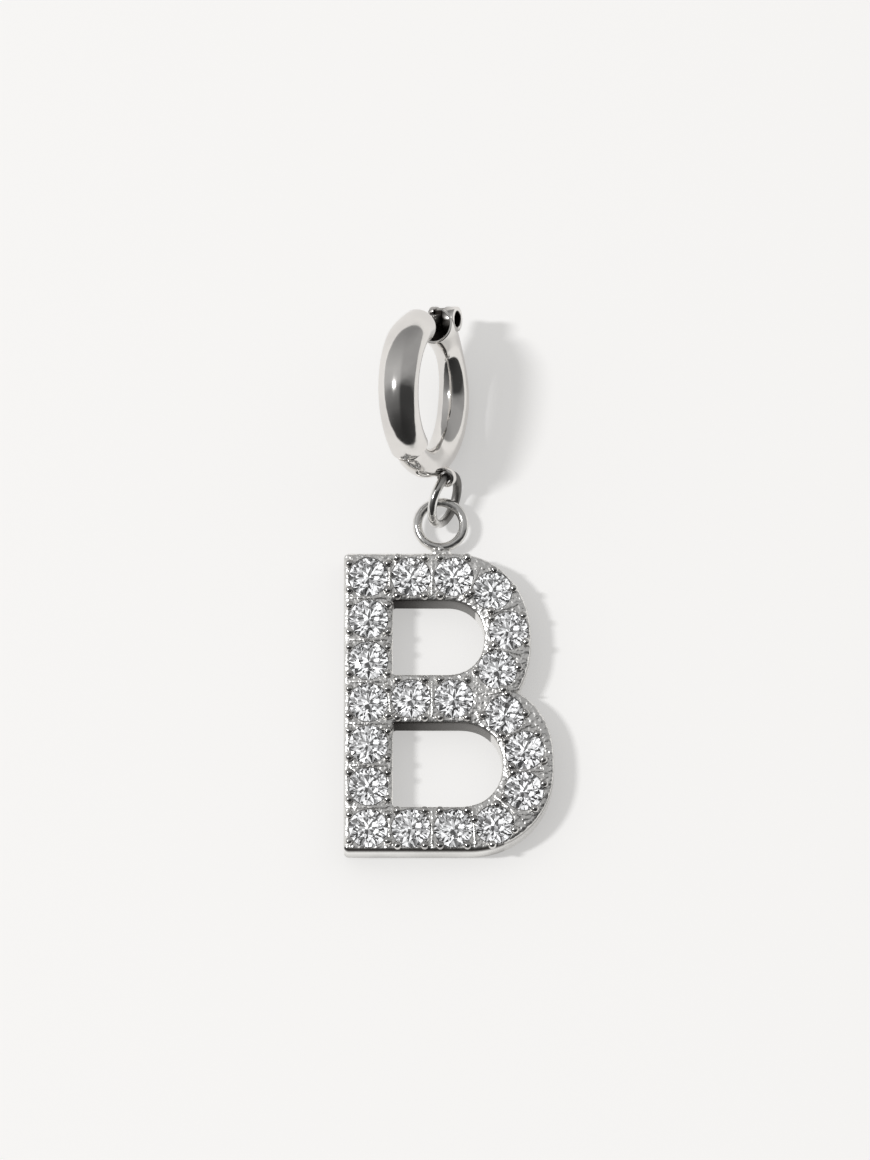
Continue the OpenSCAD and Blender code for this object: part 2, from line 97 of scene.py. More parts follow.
def joined(parts: Iterable[Mesh]) -> Mesh:
    """Puts several meshes into one.

    Args:
        parts: The meshes, which are freed.

    Returns:
        One mesh with all their faces.
    """
    whole = bmesh.new()
    for part in parts:
        carrier = bpy.data.meshes.new("carrier")
        part.to_mesh(carrier)
        part.free()
        whole.from_mesh(carrier)
        bpy.data.meshes.remove(carrier)
    return whole


def spun(bm: Mesh, steps: int) -> Mesh:
    """Spins the lines of a mesh a full turn about the Z axis.

    Args:
        bm: The mesh, which holds only the lines.
        steps: How many steps the turn has.

    Returns:
        The same mesh.
    """
    bmesh.ops.spin(bm, geom=bm.verts[:] + bm.edges[:], cent=(0, 0, 0), axis=(0, 0, 1),
                   dvec=(0, 0, 0), angle=TURN, steps=steps, use_merge=True,
                   use_normal_flip=False, use_duplicate=False)
    return clean(bm)


def lathe(profile: Sequence[Point], steps: int = STEPS, closed: bool = False) -> Mesh:
    """Turns a line about the Z axis.

    Args:
        profile: Points of the line, each a radius and a height.
        steps: How many steps a full turn has.
        closed: Whether the line runs back to its first point.

    Returns:
        The turned mesh.
    """
    bm = bmesh.new()
    verts = [bm.verts.new((radius, 0, height)) for radius, height in profile]
    for pair in zip(verts, verts[1:] + (verts[:1] if closed else [])):
        bm.edges.new(pair)
    return spun(bm, steps)


def wire_ring(outer_d: float, wire_d: float, steps: int = 96, sides: int = 28) -> Mesh:
    """Makes a ring of round wire about the Z axis.

    Args:
        outer_d: Outer diameter of the ring.
        wire_d: Diameter of the wire.
        steps: Steps round the ring.
        sides: Steps round the wire.

    Returns:
        The ring's mesh.
    """
    bm = bmesh.new()
    place = Matrix.Translation(((outer_d - wire_d) / 2, 0, 0)) @ turned(90, "X")
    bmesh.ops.create_circle(bm, cap_ends=False, radius=wire_d / 2, segments=sides, matrix=place)
    return spun(bm, steps)


def washer(inner_r: float, outer_r: float, low: float, high: float, chamfer: float) -> Mesh:
    """Makes a drilled disc about the Z axis, with broken edges.

    Args:
        inner_r: Radius of the hole.
        outer_r: Outer radius.
        low: Height of the lower face.
        high: Height of the upper face.
        chamfer: Width of the broken edges.

    Returns:
        The disc's mesh.
    """
    c, soft = chamfer, 0.3 * chamfer
    profile = [(inner_r, low + c), (inner_r + c, low), (outer_r - c, low),
               (outer_r - soft, low + soft), (outer_r, low + c), (outer_r, high - c),
               (outer_r - soft, high - soft), (outer_r - c, high), (inner_r + c, high),
               (inner_r, high - c)]
    return lathe(profile, closed=True)


def plug(radius: float, low: float, high: float) -> Mesh:
    """Makes a plain round plug about the Z axis."""
    return lathe([(0, low), (radius, low), (radius, high), (0, high)])


def block(size: Sequence[float], centre: Sequence[float], chamfer: float = 0.0) -> Mesh:
    """Makes a block with broken edges.

    Args:
        size: Its three sizes.
        centre: Its middle.
        chamfer: Width of the broken edges, or 0 for a plain block.

    Returns:
        The block's mesh.
    """
    bm = bmesh.new()
    place = Matrix.Translation(centre) @ Matrix.Diagonal((*size, 1.0))
    bmesh.ops.create_cube(bm, size=1.0, matrix=place)
    if chamfer:
        bmesh.ops.bevel(bm, geom=bm.edges[:], offset=chamfer, affect="EDGES", segments=2,
                        profile=0.5, material=-1)
    return bm


def carved(solid: Mesh, cutters: Sequence[Mesh], own: bool = False) -> Mesh:
    """Cuts tools out of a solid.

    Args:
        solid: The solid, which is freed.
        cutters: The tools, which are freed.
        own: Whether shells of the solid or of a tool run into each other.

    Returns:
        What is left of the solid.
    """
    def carrier(bm: Mesh, name: str) -> bpy.types.Object:
        """Puts a mesh on an object that the cut can use.

        Args:
            bm: The mesh, which is freed.
            name: Name of the object.

        Returns:
            The object.
        """
        mesh = bpy.data.meshes.new(name)
        bm.to_mesh(mesh)
        bm.free()
        made = bpy.data.objects.new(name, mesh)
        bpy.context.scene.collection.objects.link(made)
        return made

    work = carrier(solid, "work")
    tools = [carrier(cutter, "tool") for cutter in cutters]
    for tool in tools:
        cut = work.modifiers.new("cut", "BOOLEAN")
        cut.operation = "DIFFERENCE"
        cut.solver = "EXACT"
        cut.use_self = own
        cut.object = tool
    bpy.context.view_layer.update()
    graph = bpy.context.evaluated_depsgraph_get()
    mesh = bpy.data.meshes.new_from_object(work.evaluated_get(graph))
    left = bmesh.new()
    left.from_mesh(mesh)
    for made in [work, *tools]:
        held = made.data
        bpy.data.objects.remove(made)
        bpy.data.meshes.remove(held)
    bpy.data.meshes.remove(mesh)
    bmesh.ops.remove_doubles(left, verts=left.verts, dist=MERGE_DIST)
    return left


def shaded(bm: Mesh, rule: Rule, name: str = "hollow") -> Mesh:
    """Writes a value at each point, which the silver reads as an attribute.

    Args:
        bm: The mesh.
        rule: Gives the value, from 0 to 1, at a point of the mesh.
        name: The attribute: "hollow" for painted shade and painted dark reflection, "smooth" for
            walls with no dents.

    Returns:
        The same mesh.
    """
    layer = bm.verts.layers.float.new(name)
    bm.normal_update()
    for vert in bm.verts:
        vert[layer] = rule(vert)
    return bm


def swept(places: Sequence[Matrix], sides: int) -> Mesh:
    """Draws a round section along a row of places, and closes both ends.

    Args:
        places: Where a unit circle goes at each station, as 4 by 4 matrices.
        sides: Steps round the section.

    Returns:
        The closed tube.
    """
    bm = bmesh.new()
    bmesh.ops.create_circle(bm, cap_ends=False, radius=1.0, segments=sides, matrix=places[0])
    ring = bm.edges[:]
    ends = [ring]
    for before, after in zip(places, places[1:]):
        made = bmesh.ops.extrude_edge_only(bm, edges=ring)["geom"]
        verts = [g for g in made if isinstance(g, bmesh.types.BMVert)]
        bmesh.ops.transform(bm, matrix=after @ before.inverted(), verts=verts)
        fresh = set(verts)
        ring = [g for g in made
                if isinstance(g, bmesh.types.BMEdge) and fresh.issuperset(g.verts)]
    ends.append(ring)
    for end in ends:
        bmesh.ops.holes_fill(bm, edges=end, sides=sides)
    bmesh.ops.recalc_face_normals(bm, faces=bm.faces)
    if bm.calc_volume(signed=True) < 0:
        bmesh.ops.reverse_faces(bm, faces=bm.faces)
    return bm


def piece(name: str, bm: Mesh, material: Material, body: Body, node: str = "") -> None:
    """Turns a mesh in millimetres into a finished silver piece that rides on a body.

    Args:
        name: Name of the piece.
        bm: Its mesh, in millimetres, which is freed.
        material: Its finish.
        body: The body that it rides on.
        node: The CAD node that it stands for, if it stands for a whole one.
    """
    placed(bm, Matrix.Scale(MM, 4))
    mesh = bpy.data.meshes.new(name)
    bm.to_mesh(mesh)
    bm.free()
    mesh.shade_smooth()
    mesh.set_sharp_from_angle(angle=SHARP_ANGLE)
    mesh.materials.append(material)
    made = bpy.data.objects.new(name, mesh)
    bpy.context.scene.collection.objects.link(made)
    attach(made, body.value)
    if node:
        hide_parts(node)
    log.info("%s: %d faces on %s", name, len(mesh.polygons), body.value)


# Finishes


class NodeSheet:
    """A node tree that is being filled, with short calls for what its nodes need."""

    def __init__(self, tree: Tree) -> None:
        """Starts on an empty tree."""
        self.tree = tree
        self.tree.nodes.clear()

    def add(self, kind: str, **values: object) -> bpy.types.Node:
        """Adds a node.

        Args:
            kind: Blender's name of the node.
            **values: Settings of the node, by their names.

        Returns:
            The node.
        """
        node = self.tree.nodes.new(kind)
        for key, value in values.items():
            setattr(node, key, value)
        return node

    def fill(self, node: bpy.types.Node, values: dict[str | int, object]) -> None:
        """Gives inputs of a node what they need.

        Args:
            node: The node.
            values: A number, a vector, a colour or a socket for each input, by its name or number.
        """
        for key, value in values.items():
            end = node.inputs[key]
            if isinstance(value, Socket):
                self.tree.links.new(value, end)
            else:
                end.default_value = (*value, 1.0) if end.type == "RGBA" else value

    def noise(self, place: Socket, scale: float | Socket, detail: float) -> Socket:
        """Adds a value that drifts unevenly from place to place.

        Args:
            place: Where the value is looked up.
            scale: How fast it drifts.
            detail: How many finer layers lie on it.

        Returns:
            The value's socket.
        """
        node = self.add("ShaderNodeTexNoise")
        self.fill(node, {"Vector": place, "Scale": scale, "Detail": detail})
        return node.outputs["Fac"]

    def scaled(self, value: Socket, factor: float | Socket, plus: Socket) -> Socket:
        """Multiplies a value by a factor and adds another value."""
        node = self.add("ShaderNodeMath", operation="MULTIPLY_ADD")
        self.fill(node, {0: value, 1: factor, 2: plus})
        return node.outputs[0]

    def mix(self, factor: Socket, low: Colour | Socket, high: Colour | Socket) -> Socket:
        """Mixes two colours.

        Args:
            factor: The share of the second colour.
            low: The first colour, or a socket that gives it.
            high: The second colour, or a socket that gives it.

        Returns:
            The mixed colour's socket.
        """
        node = self.add("ShaderNodeMix", data_type="RGBA")
        self.fill(node, {"Factor": factor, "A": low, "B": high})
        return node.outputs["Result"]

    def ramp(self, value: Socket, stops: Sequence[Point]) -> Socket:
        """Looks up a tone of grey along a ramp.

        Args:
            value: The place on the ramp.
            stops: The ramp's places and tones.

        Returns:
            The tone's socket.
        """
        node = self.add("ShaderNodeValToRGB")
        self.fill(node, {"Fac": value})
        marks = node.color_ramp.elements
        while len(marks) < len(stops):
            marks.new(0.5)
        for mark, (place, tone) in zip(marks, stops):
            mark.position = place
            mark.color = (tone, tone, tone, 1.0)
        return node.outputs["Color"]

    def remap(self, value: Socket, old: Point, new: Point = (0.0, 1.0),
              smooth: bool = True) -> Socket:
        """Moves a value from one range to another.

        Args:
            value: The value's socket.
            old: Start and end of the old range.
            new: Start and end of the new range.
            smooth: Whether the way between them is eased.

        Returns:
            The new value's socket.
        """
        way = "SMOOTHSTEP" if smooth else "LINEAR"
        node = self.add("ShaderNodeMapRange", interpolation_type=way)
        self.fill(node, {"Value": value, "From Min": old[0], "From Max": old[1],
                         "To Min": new[0], "To Max": new[1]})
        return node.outputs["Result"]


def effect_group(name: str, inputs: dict[str, str],
                 outputs: dict[str, str]) -> tuple[Tree, NodeSheet]:
    """Starts a shared effect.

    Args:
        name: Name of the effect.
        inputs: Names and socket types of what goes in.
        outputs: Names and socket types of what comes out.

    Returns:
        The group and its sheet.
    """
    group = bpy.data.node_groups.new(name, "ShaderNodeTree")
    sheet = NodeSheet(group)
    for sockets, side in ((inputs, "INPUT"), (outputs, "OUTPUT")):
        for key, kind in sockets.items():
            group.interface.new_socket(name=key, in_out=side, socket_type=f"NodeSocket{kind}")
    return group, sheet


def new_material(name: str) -> tuple[Material, NodeSheet, bpy.types.Node]:
    """Starts a material with one shader on its output.

    Args:
        name: Name of the material.

    Returns:
        The material, its sheet and its shader.
    """
    made = bpy.data.materials.new(name)
    made.use_nodes = True
    sheet = NodeSheet(made.node_tree)
    shader = sheet.add("ShaderNodeBsdfPrincipled")
    sheet.fill(sheet.add("ShaderNodeOutputMaterial"), {"Surface": shader.outputs["BSDF"]})
    return made, sheet, shader


@dataclass(frozen=True)
class PolishMarks:
    """The marks of working silver: a slow drift of tone, fine polishing lines and shallow dents."""

    drift: float = 420.0
    drift_range: Point = (0.35, 0.7)
    line_stretch: tuple[float, float, float] = (1.0, 0.14, 0.5)
    line_turn: tuple[float, float, float] = (0.2, 0.1, 0.5)

    def group(self) -> Tree:
        """Builds the effect.

        Returns:
            The effect's node group.
        """
        group, sheet = effect_group(
            "polish marks",
            {"Bright": "Color", "Dull": "Color", "Gloss": "Float", "Haze": "Float",
             "Grain": "Float", "Depth": "Float", "Dents": "Float", "Dent depth": "Float"},
            {"Colour": "Color", "Roughness": "Float", "Normal": "Vector"})
        given = sheet.add("NodeGroupInput").outputs
        place = sheet.add("ShaderNodeTexCoord").outputs["Object"]
        drift = sheet.remap(sheet.noise(place, self.drift, 3.0), self.drift_range)
        stretch = sheet.add("ShaderNodeMapping")
        sheet.fill(stretch, {"Vector": place, "Scale": self.line_stretch,
                             "Rotation": self.line_turn})
        lines = sheet.noise(stretch.outputs["Vector"], given["Grain"], 4.0)
        smooth = sheet.add("ShaderNodeAttribute", attribute_name="smooth").outputs["Fac"]
        dents = sheet.add("ShaderNodeBump")
        sheet.fill(dents, {"Height": sheet.noise(place, given["Dents"], 1.5),
                           "Distance": given["Dent depth"],
                           "Strength": sheet.remap(smooth, (0.0, 1.0), (1.0, 0.0), smooth=False)})
        relief = sheet.add("ShaderNodeBump")
        sheet.fill(relief, {"Height": lines, "Distance": given["Depth"],
                            "Normal": dents.outputs["Normal"]})
        sheet.fill(sheet.add("NodeGroupOutput"),
                   {"Colour": sheet.mix(drift, given["Bright"], given["Dull"]),
                    "Roughness": sheet.scaled(lines, given["Haze"], given["Gloss"]),
                    "Normal": relief.outputs["Normal"]})
        return group


@dataclass(frozen=True)
class PaintedShade:
    """Painted shade and painted dark reflection: darkens and dulls the silver where the hollow
    attribute is set.
    """

    # The near-black colour painted in as shade, and the roughness added with it.
    tone: Colour = (0.035, 0.03, 0.027)
    dullness: float = 0.4

    def group(self) -> Tree:
        """Builds the effect.

        Returns:
            The effect's node group.
        """
        sockets = {"Colour": "Color", "Roughness": "Float"}
        group, sheet = effect_group("hollow shade", sockets, sockets)
        given = sheet.add("NodeGroupInput").outputs
        # The hollow attribute says how much painted shade each point gets.
        hollow = sheet.add("ShaderNodeAttribute", attribute_name="hollow").outputs["Fac"]
        sheet.fill(sheet.add("NodeGroupOutput"),
                   {"Colour": sheet.mix(hollow, given["Colour"], self.tone),
                    "Roughness": sheet.scaled(hollow, self.dullness, given["Roughness"])})
        return group


@dataclass(frozen=True)
class SilverFinish:
    """A finish of the silver: its tones, gloss and haze, and the size and depth of its marks."""

    name: str
    bright: Colour
    dull: Colour
    gloss: float
    haze: float
    grain: float
    depth: float
    dents: float
    dent_depth: float

    def material(self, marks: Tree, hollows: Tree) -> Material:
        """Makes the material.

        Args:
            marks: The shared effect of polishing marks.
            hollows: The shared effect of painted shade, darkest in hollow places.

        Returns:
            The material.
        """
        made, sheet, shader = new_material(self.name)
        marked = sheet.add("ShaderNodeGroup", node_tree=marks)
        sheet.fill(marked, {"Bright": self.bright, "Dull": self.dull, "Gloss": self.gloss,
                            "Haze": self.haze, "Grain": self.grain, "Depth": self.depth,
                            "Dents": self.dents, "Dent depth": self.dent_depth})
        shade = sheet.add("ShaderNodeGroup", node_tree=hollows)
        sheet.fill(shade, {key: marked.outputs[key] for key in ("Colour", "Roughness")})
        sheet.fill(shader, {"Metallic": 1.0, "Base Color": shade.outputs["Colour"],
                            "Roughness": shade.outputs["Roughness"],
                            "Normal": marked.outputs["Normal"]})
        return made


POLISHED = SilverFinish("polished silver", bright=(0.80, 0.78, 0.755), dull=(0.72, 0.70, 0.68),
                        gloss=0.07, haze=0.06, grain=9000.0, depth=4e-7, dents=900.0,
                        dent_depth=2.5e-5)
WORKED = SilverFinish("worked silver", bright=(0.97, 0.96, 0.94), dull=(0.84, 0.83, 0.81),
                      gloss=0.22, haze=0.15, grain=16000.0, depth=3e-6, dents=4200.0,
                      dent_depth=8e-5)
# The beads' silver is painted darker than the letter's, as painted shade for the dim room that they
# reflect.
BEADED = SilverFinish("bead silver", bright=(0.78, 0.77, 0.75), dull=(0.50, 0.49, 0.48),
                      gloss=0.10, haze=0.12, grain=16000.0, depth=1e-6, dents=5000.0,
                      dent_depth=2e-5)
DRAWN = SilverFinish("wire silver", bright=(0.86, 0.85, 0.83), dull=(0.60, 0.59, 0.57),
                     gloss=0.10, haze=0.10, grain=9000.0, depth=1e-6, dents=1700.0,
                     dent_depth=6e-5)


@dataclass(frozen=True)
class StoneFinish:
    """The finish of a clear cut stone: colour, how it bends light, and the film on its facets."""

    name: str = "clear stone"
    colour: Colour = (0.985, 0.99, 1.0)
    bending: float = 2.16
    film: float = 0.03
    film_size: float = 900.0
    film_range: Point = (0.5, 0.75)

    def material(self) -> Material:
        """Makes the material.

        Returns:
            The material.
        """
        made, sheet, shader = new_material(self.name)
        place = sheet.add("ShaderNodeTexCoord").outputs["Object"]
        film = sheet.remap(sheet.noise(place, self.film_size, 5.0), self.film_range,
                           (0.0, self.film))
        sheet.fill(shader, {"Base Color": self.colour, "IOR": self.bending,
                            "Transmission Weight": 1.0, "Roughness": film})
        return made


@dataclass(frozen=True)
class StoneSpot:
    """One stone's place: its middle, its stroke's direction, and how far across its beads stand."""

    x: float
    y: float
    along: float
    reach: float

    def matrix(self, height: float = 0.0) -> Matrix:
        """Gives the stone's place at a height above the letter's back."""
        return Matrix.Translation((self.x, self.y, height)) @ turned(self.along)


@dataclass(frozen=True)
class RoundEnd:
    """The round end of a bowl: reach, length, foot, head, and the powers of its two halves."""

    reach: float
    length: float
    foot: float
    head: float
    upper: float
    lower: float

    def point(self, angle: float) -> Point:
        """Gives the point of the bowl at an angle round it.

        Args:
            angle: The angle in degrees, from -90 at the foot to 90 at the head.

        Returns:
            The point.
        """
        turn = math.radians(angle)
        power = 2 / (self.lower if angle < 0 else self.upper)
        half = (self.head - self.foot) / 2
        rise = math.copysign(half * abs(math.sin(turn)) ** power, math.sin(turn))
        return (self.reach - self.length + self.length * abs(math.cos(turn)) ** power,
                self.foot + half + rise)

    def run(self, start: float, end: float, steps: int) -> list[Point]:
        """Gives points along the bowl from one angle to another, in degrees."""
        return [self.point(start + (end - start) * i / steps) for i in range(steps + 1)]


@dataclass
class Letter:
    """The letter's setting: plate, seats, beads, cell walls, and the ring on its top, in mm."""

    width: float = 10.5
    height: float = 15.25
    thickness: float = 1.7
    upper_width: float = 9.35
    upper_round: float = 3.95
    lower_round: float = 4.3
    stem: float = 2.45
    top_bar: float = 2.45
    mid_bar: float = 2.5
    bottom_bar: float = 2.25
    mid_y: float = 7.77
    upper_drop: float = 1.32
    lower_rise: float = 0.88
    upper_powers: Point = (2.15, 2.15)
    lower_powers: Point = (2.4, 2.1)
    upper_wall: float = 2.35
    lower_wall: float = 2.6
    upper_counter_round: float = 0.42
    lower_counter_round: float = 0.4
    counter_powers: Point = (2.2, 2.2)
    upper_stones: tuple[Point, ...] = ((46.4, 0.445), (5.8, 0.47), (-30.8, 0.56))
    lower_stones: tuple[Point, ...] = ((52.4, 0.53), (11.0, 0.55), (-22.5, 0.49), (-64.4, 0.44))
    corner: float = 0.25
    counter_corner: float = 0.15
    pitch: float = 2.13
    edge: float = 0.18
    line_w: float = 0.45
    stone_r: float = 0.975
    table_r: float = 0.555
    crown: float = 0.29
    girdle: float = 0.06
    pavilion: float = 0.84
    sink: float = 0.02
    gap: float = 0.035
    light_hole_r: float = 0.55
    bead_d: float = 0.44
    bead_along: float = 0.68
    bead_across: float = 0.97
    bowl_bead_across: float = 0.82
    bead_rise: float = 0.06
    bead_margin: float = 0.02
    bowl_bead_margin: float = 0.08
    wall_w: float = 0.12
    wall_h: float = 0.09
    wall_l: float = 1.9
    wall_edge: float = 0.03
    ring_d: float = 2.8
    ring_wire: float = 0.48
    ring_x: float = 4.83
    solder_gap: float = 0.25
    solder_d: float = 0.95
    solder_lumps: tuple[tuple[float, float, float], ...] = (
        (-0.22, 0.0, 0.75), (0.24, 0.0, 0.66), (0.0, 0.26, 0.58))
    # Painted shade on the plate: the openings' upper walls, fading towards their round ends; a dark
    # band on the bottom edge's rounding and a grey contact line where the bottom wall meets the
    # table; a thin dark line at the foot of the round edge, reaching up to dark_rise.
    counter_dark: float = 1.0
    counter_fade: float = 0.35
    front_dark: float = 0.95
    rim_dark: float = 0.6
    back_dark: float = 0.3
    dark_rise: float = 0.7

    def __post_init__(self) -> None:
        """Works out the bowls and the rows of stones."""
        self.upper = RoundEnd(self.upper_width, self.upper_round, self.mid_y - self.upper_drop,
                              self.height, *self.upper_powers)
        self.lower = RoundEnd(self.width, self.lower_round, 0.0, self.mid_y + self.lower_rise,
                              *self.lower_powers)
        inner_x = self.upper_width - self.upper_wall
        self.upper_counter = RoundEnd(
            inner_x, (inner_x - self.stem) * self.upper_counter_round,
            self.mid_y + self.mid_bar / 2, self.height - self.top_bar, *self.counter_powers)
        inner_x = self.width - self.lower_wall
        self.lower_counter = RoundEnd(
            inner_x, (inner_x - self.stem) * self.lower_counter_round,
            self.bottom_bar, self.mid_y - self.mid_bar / 2, *self.counter_powers)
        low, reach = self.bottom_bar / 2, self.bead_reach(self.stem)
        self.stem_row = [StoneSpot(self.stem / 2, low + i * self.stem_step(), 90.0, reach)
                         for i in range(7)]
        self.top_row = self.bar_row(self.height - self.top_bar / 2, self.top_bar)
        self.mid_row = self.bar_row(self.mid_y, self.mid_bar)
        self.bottom_row = self.bar_row(self.bottom_bar / 2, self.bottom_bar)
        self.upper_row = [self.bowl_stone(self.upper, self.upper_counter, *spot)
                          for spot in self.upper_stones]
        self.lower_row = [self.bowl_stone(self.lower, self.lower_counter, *spot)
                          for spot in self.lower_stones]

    def stem_step(self) -> float:
        """Gives the distance between two stones of the stem."""
        return (self.height - self.top_bar / 2 - self.bottom_bar / 2) / 6

    def bead_reach(self, bar: float) -> float:
        """Gives how far across a bar of a given width its beads stand."""
        return min(self.bead_across, (bar - self.bead_d) / 2 - self.bead_margin)

    def bar_row(self, y: float, bar: float) -> list[StoneSpot]:
        """Gives the two stones of a bar.

        Args:
            y: Height of the bar's middle line.
            bar: Width of the bar.

        Returns:
            The stones' places.
        """
        return [StoneSpot(self.stem / 2 + i * self.pitch, y, 0.0, self.bead_reach(bar))
                for i in (1, 2)]

    def bowl_stone(self, out: RoundEnd, inside: RoundEnd, angle: float, share: float) -> StoneSpot:
        """Gives a stone of a bowl.

        Args:
            out: The bowl's outside.
            inside: The bowl's opening.
            angle: The angle round both, in degrees.
            share: The share of the way from the outside to the opening.

        Returns:
            The stone's place.
        """
        a, b = Vector(out.point(angle)), Vector(inside.point(angle))
        middle, across = a.lerp(b, share), a - b
        room = share * across.length - self.bead_d / 2 - self.bowl_bead_margin
        return StoneSpot(middle.x, middle.y, math.degrees(math.atan2(across.y, across.x)) + 90,
                         min(self.bowl_bead_across, room))

    def rows(self) -> list[StoneSpot]:
        """Gives the places of all the stones."""
        return [*self.stem_row, *self.top_row, *self.upper_row, *self.mid_row, *self.lower_row,
                *self.bottom_row]

    def origin(self) -> Matrix:
        """Gives the move from the letter's lower left corner to the row's frame."""
        return Matrix.Translation((-(self.stem / 2 + 1.5 * self.pitch), -self.mid_y, 0))

    def corner_run(self, x: float, y: float, radius: float, start: float) -> list[Point]:
        """Gives a small round corner, a quarter turn clockwise.

        Args:
            x: Middle of the corner, across.
            y: Middle of the corner, up.
            radius: Radius of the corner.
            start: The angle where it starts, in degrees.

        Returns:
            Points along the corner.
        """
        turns = [math.radians(start - 90 * i / 6) for i in range(7)]
        return [(x + radius * math.cos(turn), y + radius * math.sin(turn)) for turn in turns]

    def waist(self) -> Point:
        """Finds where the two bowls meet, by halving.

        Returns:
            The meeting point's angle round the upper bowl and round the lower one, in degrees.
        """
        low, high = -90.0, 0.0
        power = self.lower.upper
        for _ in range(HALVINGS):
            angle = (low + high) / 2
            x, y = self.upper.point(angle)
            share = min(1.0, abs(y - self.lower.head / 2) / (self.lower.head / 2))
            reach = self.lower.reach - self.lower.length * (1 - (1 - share ** power) ** (1 / power))
            low, high = (angle, high) if x < reach else (low, angle)
        on_upper = low
        low, high = 0.0, 90.0
        for _ in range(HALVINGS):
            angle = (low + high) / 2
            low, high = (angle, high) if self.lower.point(angle)[1] < y else (low, angle)
        return on_upper, low

    def outline(self) -> list[Point]:
        """Gives the letter's outer line, clockwise from the top of its upper bowl.

        Returns:
            Points along the line.
        """
        on_upper, on_lower = self.waist()
        c = self.corner
        return (self.upper.run(90, on_upper, 90) + self.lower.run(on_lower, -90, 110)[1:]
                + self.corner_run(c, c, c, 270) + self.corner_run(c, self.height - c, c, 180))

    def counter(self, end: RoundEnd) -> list[Point]:
        """Gives the line of an opening, clockwise from the top of its round end.

        Args:
            end: The opening's round end.

        Returns:
            Points along the line.
        """
        c = self.counter_corner
        return (end.run(90, -90, 72) + self.corner_run(self.stem + c, end.foot + c, c, 270)
                + self.corner_run(self.stem + c, end.head - c, c, 180))

    def plate(self) -> Mesh:
        """Makes the plate with its round front edge, before the seats are cut.

        Returns:
            The plate's mesh.
        """
        bm = bmesh.new()
        counters = [self.counter(end) for end in (self.upper_counter, self.lower_counter)]
        for line in (self.outline(), *counters):
            verts = [bm.verts.new((x, y, 0)) for x, y in line]
            for pair in zip(verts, verts[1:] + verts[:1]):
                bm.edges.new(pair)
        bmesh.ops.remove_doubles(bm, verts=bm.verts, dist=1e-4)
        bmesh.ops.triangle_fill(bm, use_beauty=True, use_dissolve=False, edges=bm.edges[:])
        made = bmesh.ops.extrude_face_region(bm, geom=bm.faces[:])["geom"]
        bmesh.ops.translate(bm, vec=(0, 0, self.thickness - self.edge),
                            verts=[g for g in made if isinstance(g, bmesh.types.BMVert)])
        bmesh.ops.recalc_face_normals(bm, faces=bm.faces)
        top = [f for f in bm.faces if f.normal.z > 0.9]
        steps = [math.radians(90 * i / 4) for i in range(5)]
        for a, b in zip(steps, steps[1:]):
            inset = self.edge * (math.cos(a) - math.cos(b))
            bmesh.ops.inset_region(bm, faces=top, thickness=inset, depth=0.0, use_boundary=True,
                                   use_even_offset=True)
            bmesh.ops.translate(bm, vec=(0, 0, self.edge * (math.sin(b) - math.sin(a))),
                                verts=list({v for f in top for v in f.verts}))
        line_z = self.thickness - self.edge - self.line_w
        bmesh.ops.bisect_plane(bm, geom=[*bm.verts, *bm.edges, *bm.faces], dist=1e-5,
                               plane_no=(0, 0, 1), plane_co=(0, 0, line_z), use_snap_center=False,
                               clear_outer=False, clear_inner=False)
        return bm

    def seat_cutter(self) -> Mesh:
        """Makes the tool that cuts the stones' seats, their light holes and the beads' undersides.

        Returns:
            The tool's mesh.
        """
        girdle_z = self.thickness - self.sink
        down, up = self.pavilion / self.stone_r, self.crown / (self.stone_r - self.table_r)
        under = girdle_z - self.girdle - self.pavilion - self.gap * math.hypot(1, down)
        above = girdle_z + self.gap * math.hypot(1, up)
        seat_r, hole_r = self.stone_r + self.gap, self.light_hole_r
        low, high = -0.05, self.thickness + self.bead_d
        profile = [(0, low), (hole_r, low), (hole_r, under + hole_r * down),
                   (seat_r, under + seat_r * down), (seat_r, above - self.gap * up),
                   (self.table_r, above + self.crown), (self.table_r, high), (0, high)]
        return joined(placed(lathe(profile), row.matrix()) for row in self.rows())

    def beads(self) -> Mesh:
        """Makes the beads that hold the stones, before the stones' room is cut from them.

        Returns:
            The beads' mesh.
        """
        bm = bmesh.new()
        height = self.thickness + self.bead_rise
        for row in self.rows():
            for side_x in (-1, 1):
                for side_y in (-1, 1):
                    spot = Matrix.Translation((side_x * self.bead_along, side_y * row.reach, 0))
                    bmesh.ops.create_uvsphere(bm, u_segments=24, v_segments=14,
                                              radius=self.bead_d / 2,
                                              matrix=row.matrix(height) @ spot)
        return bm

    def walls(self) -> Mesh:
        """Makes the thin walls between the cells, before the stones' room is cut from them.

        Returns:
            The walls' mesh.
        """
        stem = self.stem_row
        runs = [stem, [stem[6], *self.top_row, *self.upper_row], [stem[3], *self.mid_row],
                [stem[0], *self.bottom_row, *reversed(self.lower_row), self.upper_row[2]]]
        size = (self.wall_w, self.wall_l, 2 * self.wall_h)
        parts = []
        for run in runs:
            for a, b in zip(run, run[1:]):
                turn = Matrix.Rotation(math.atan2(b.y - a.y, b.x - a.x), 4, "Z")
                place = Matrix.Translation(((a.x + b.x) / 2, (a.y + b.y) / 2, self.thickness))
                parts.append(placed(block(size, (0, 0, 0), self.wall_edge), place @ turn))
        return joined(parts)

    def ring_place(self) -> Matrix:
        """Gives the middle of the ring soldered to the letter's top."""
        middle_y = self.height + self.solder_gap + self.ring_d / 2
        return Matrix.Translation((self.ring_x, middle_y, self.thickness / 2))

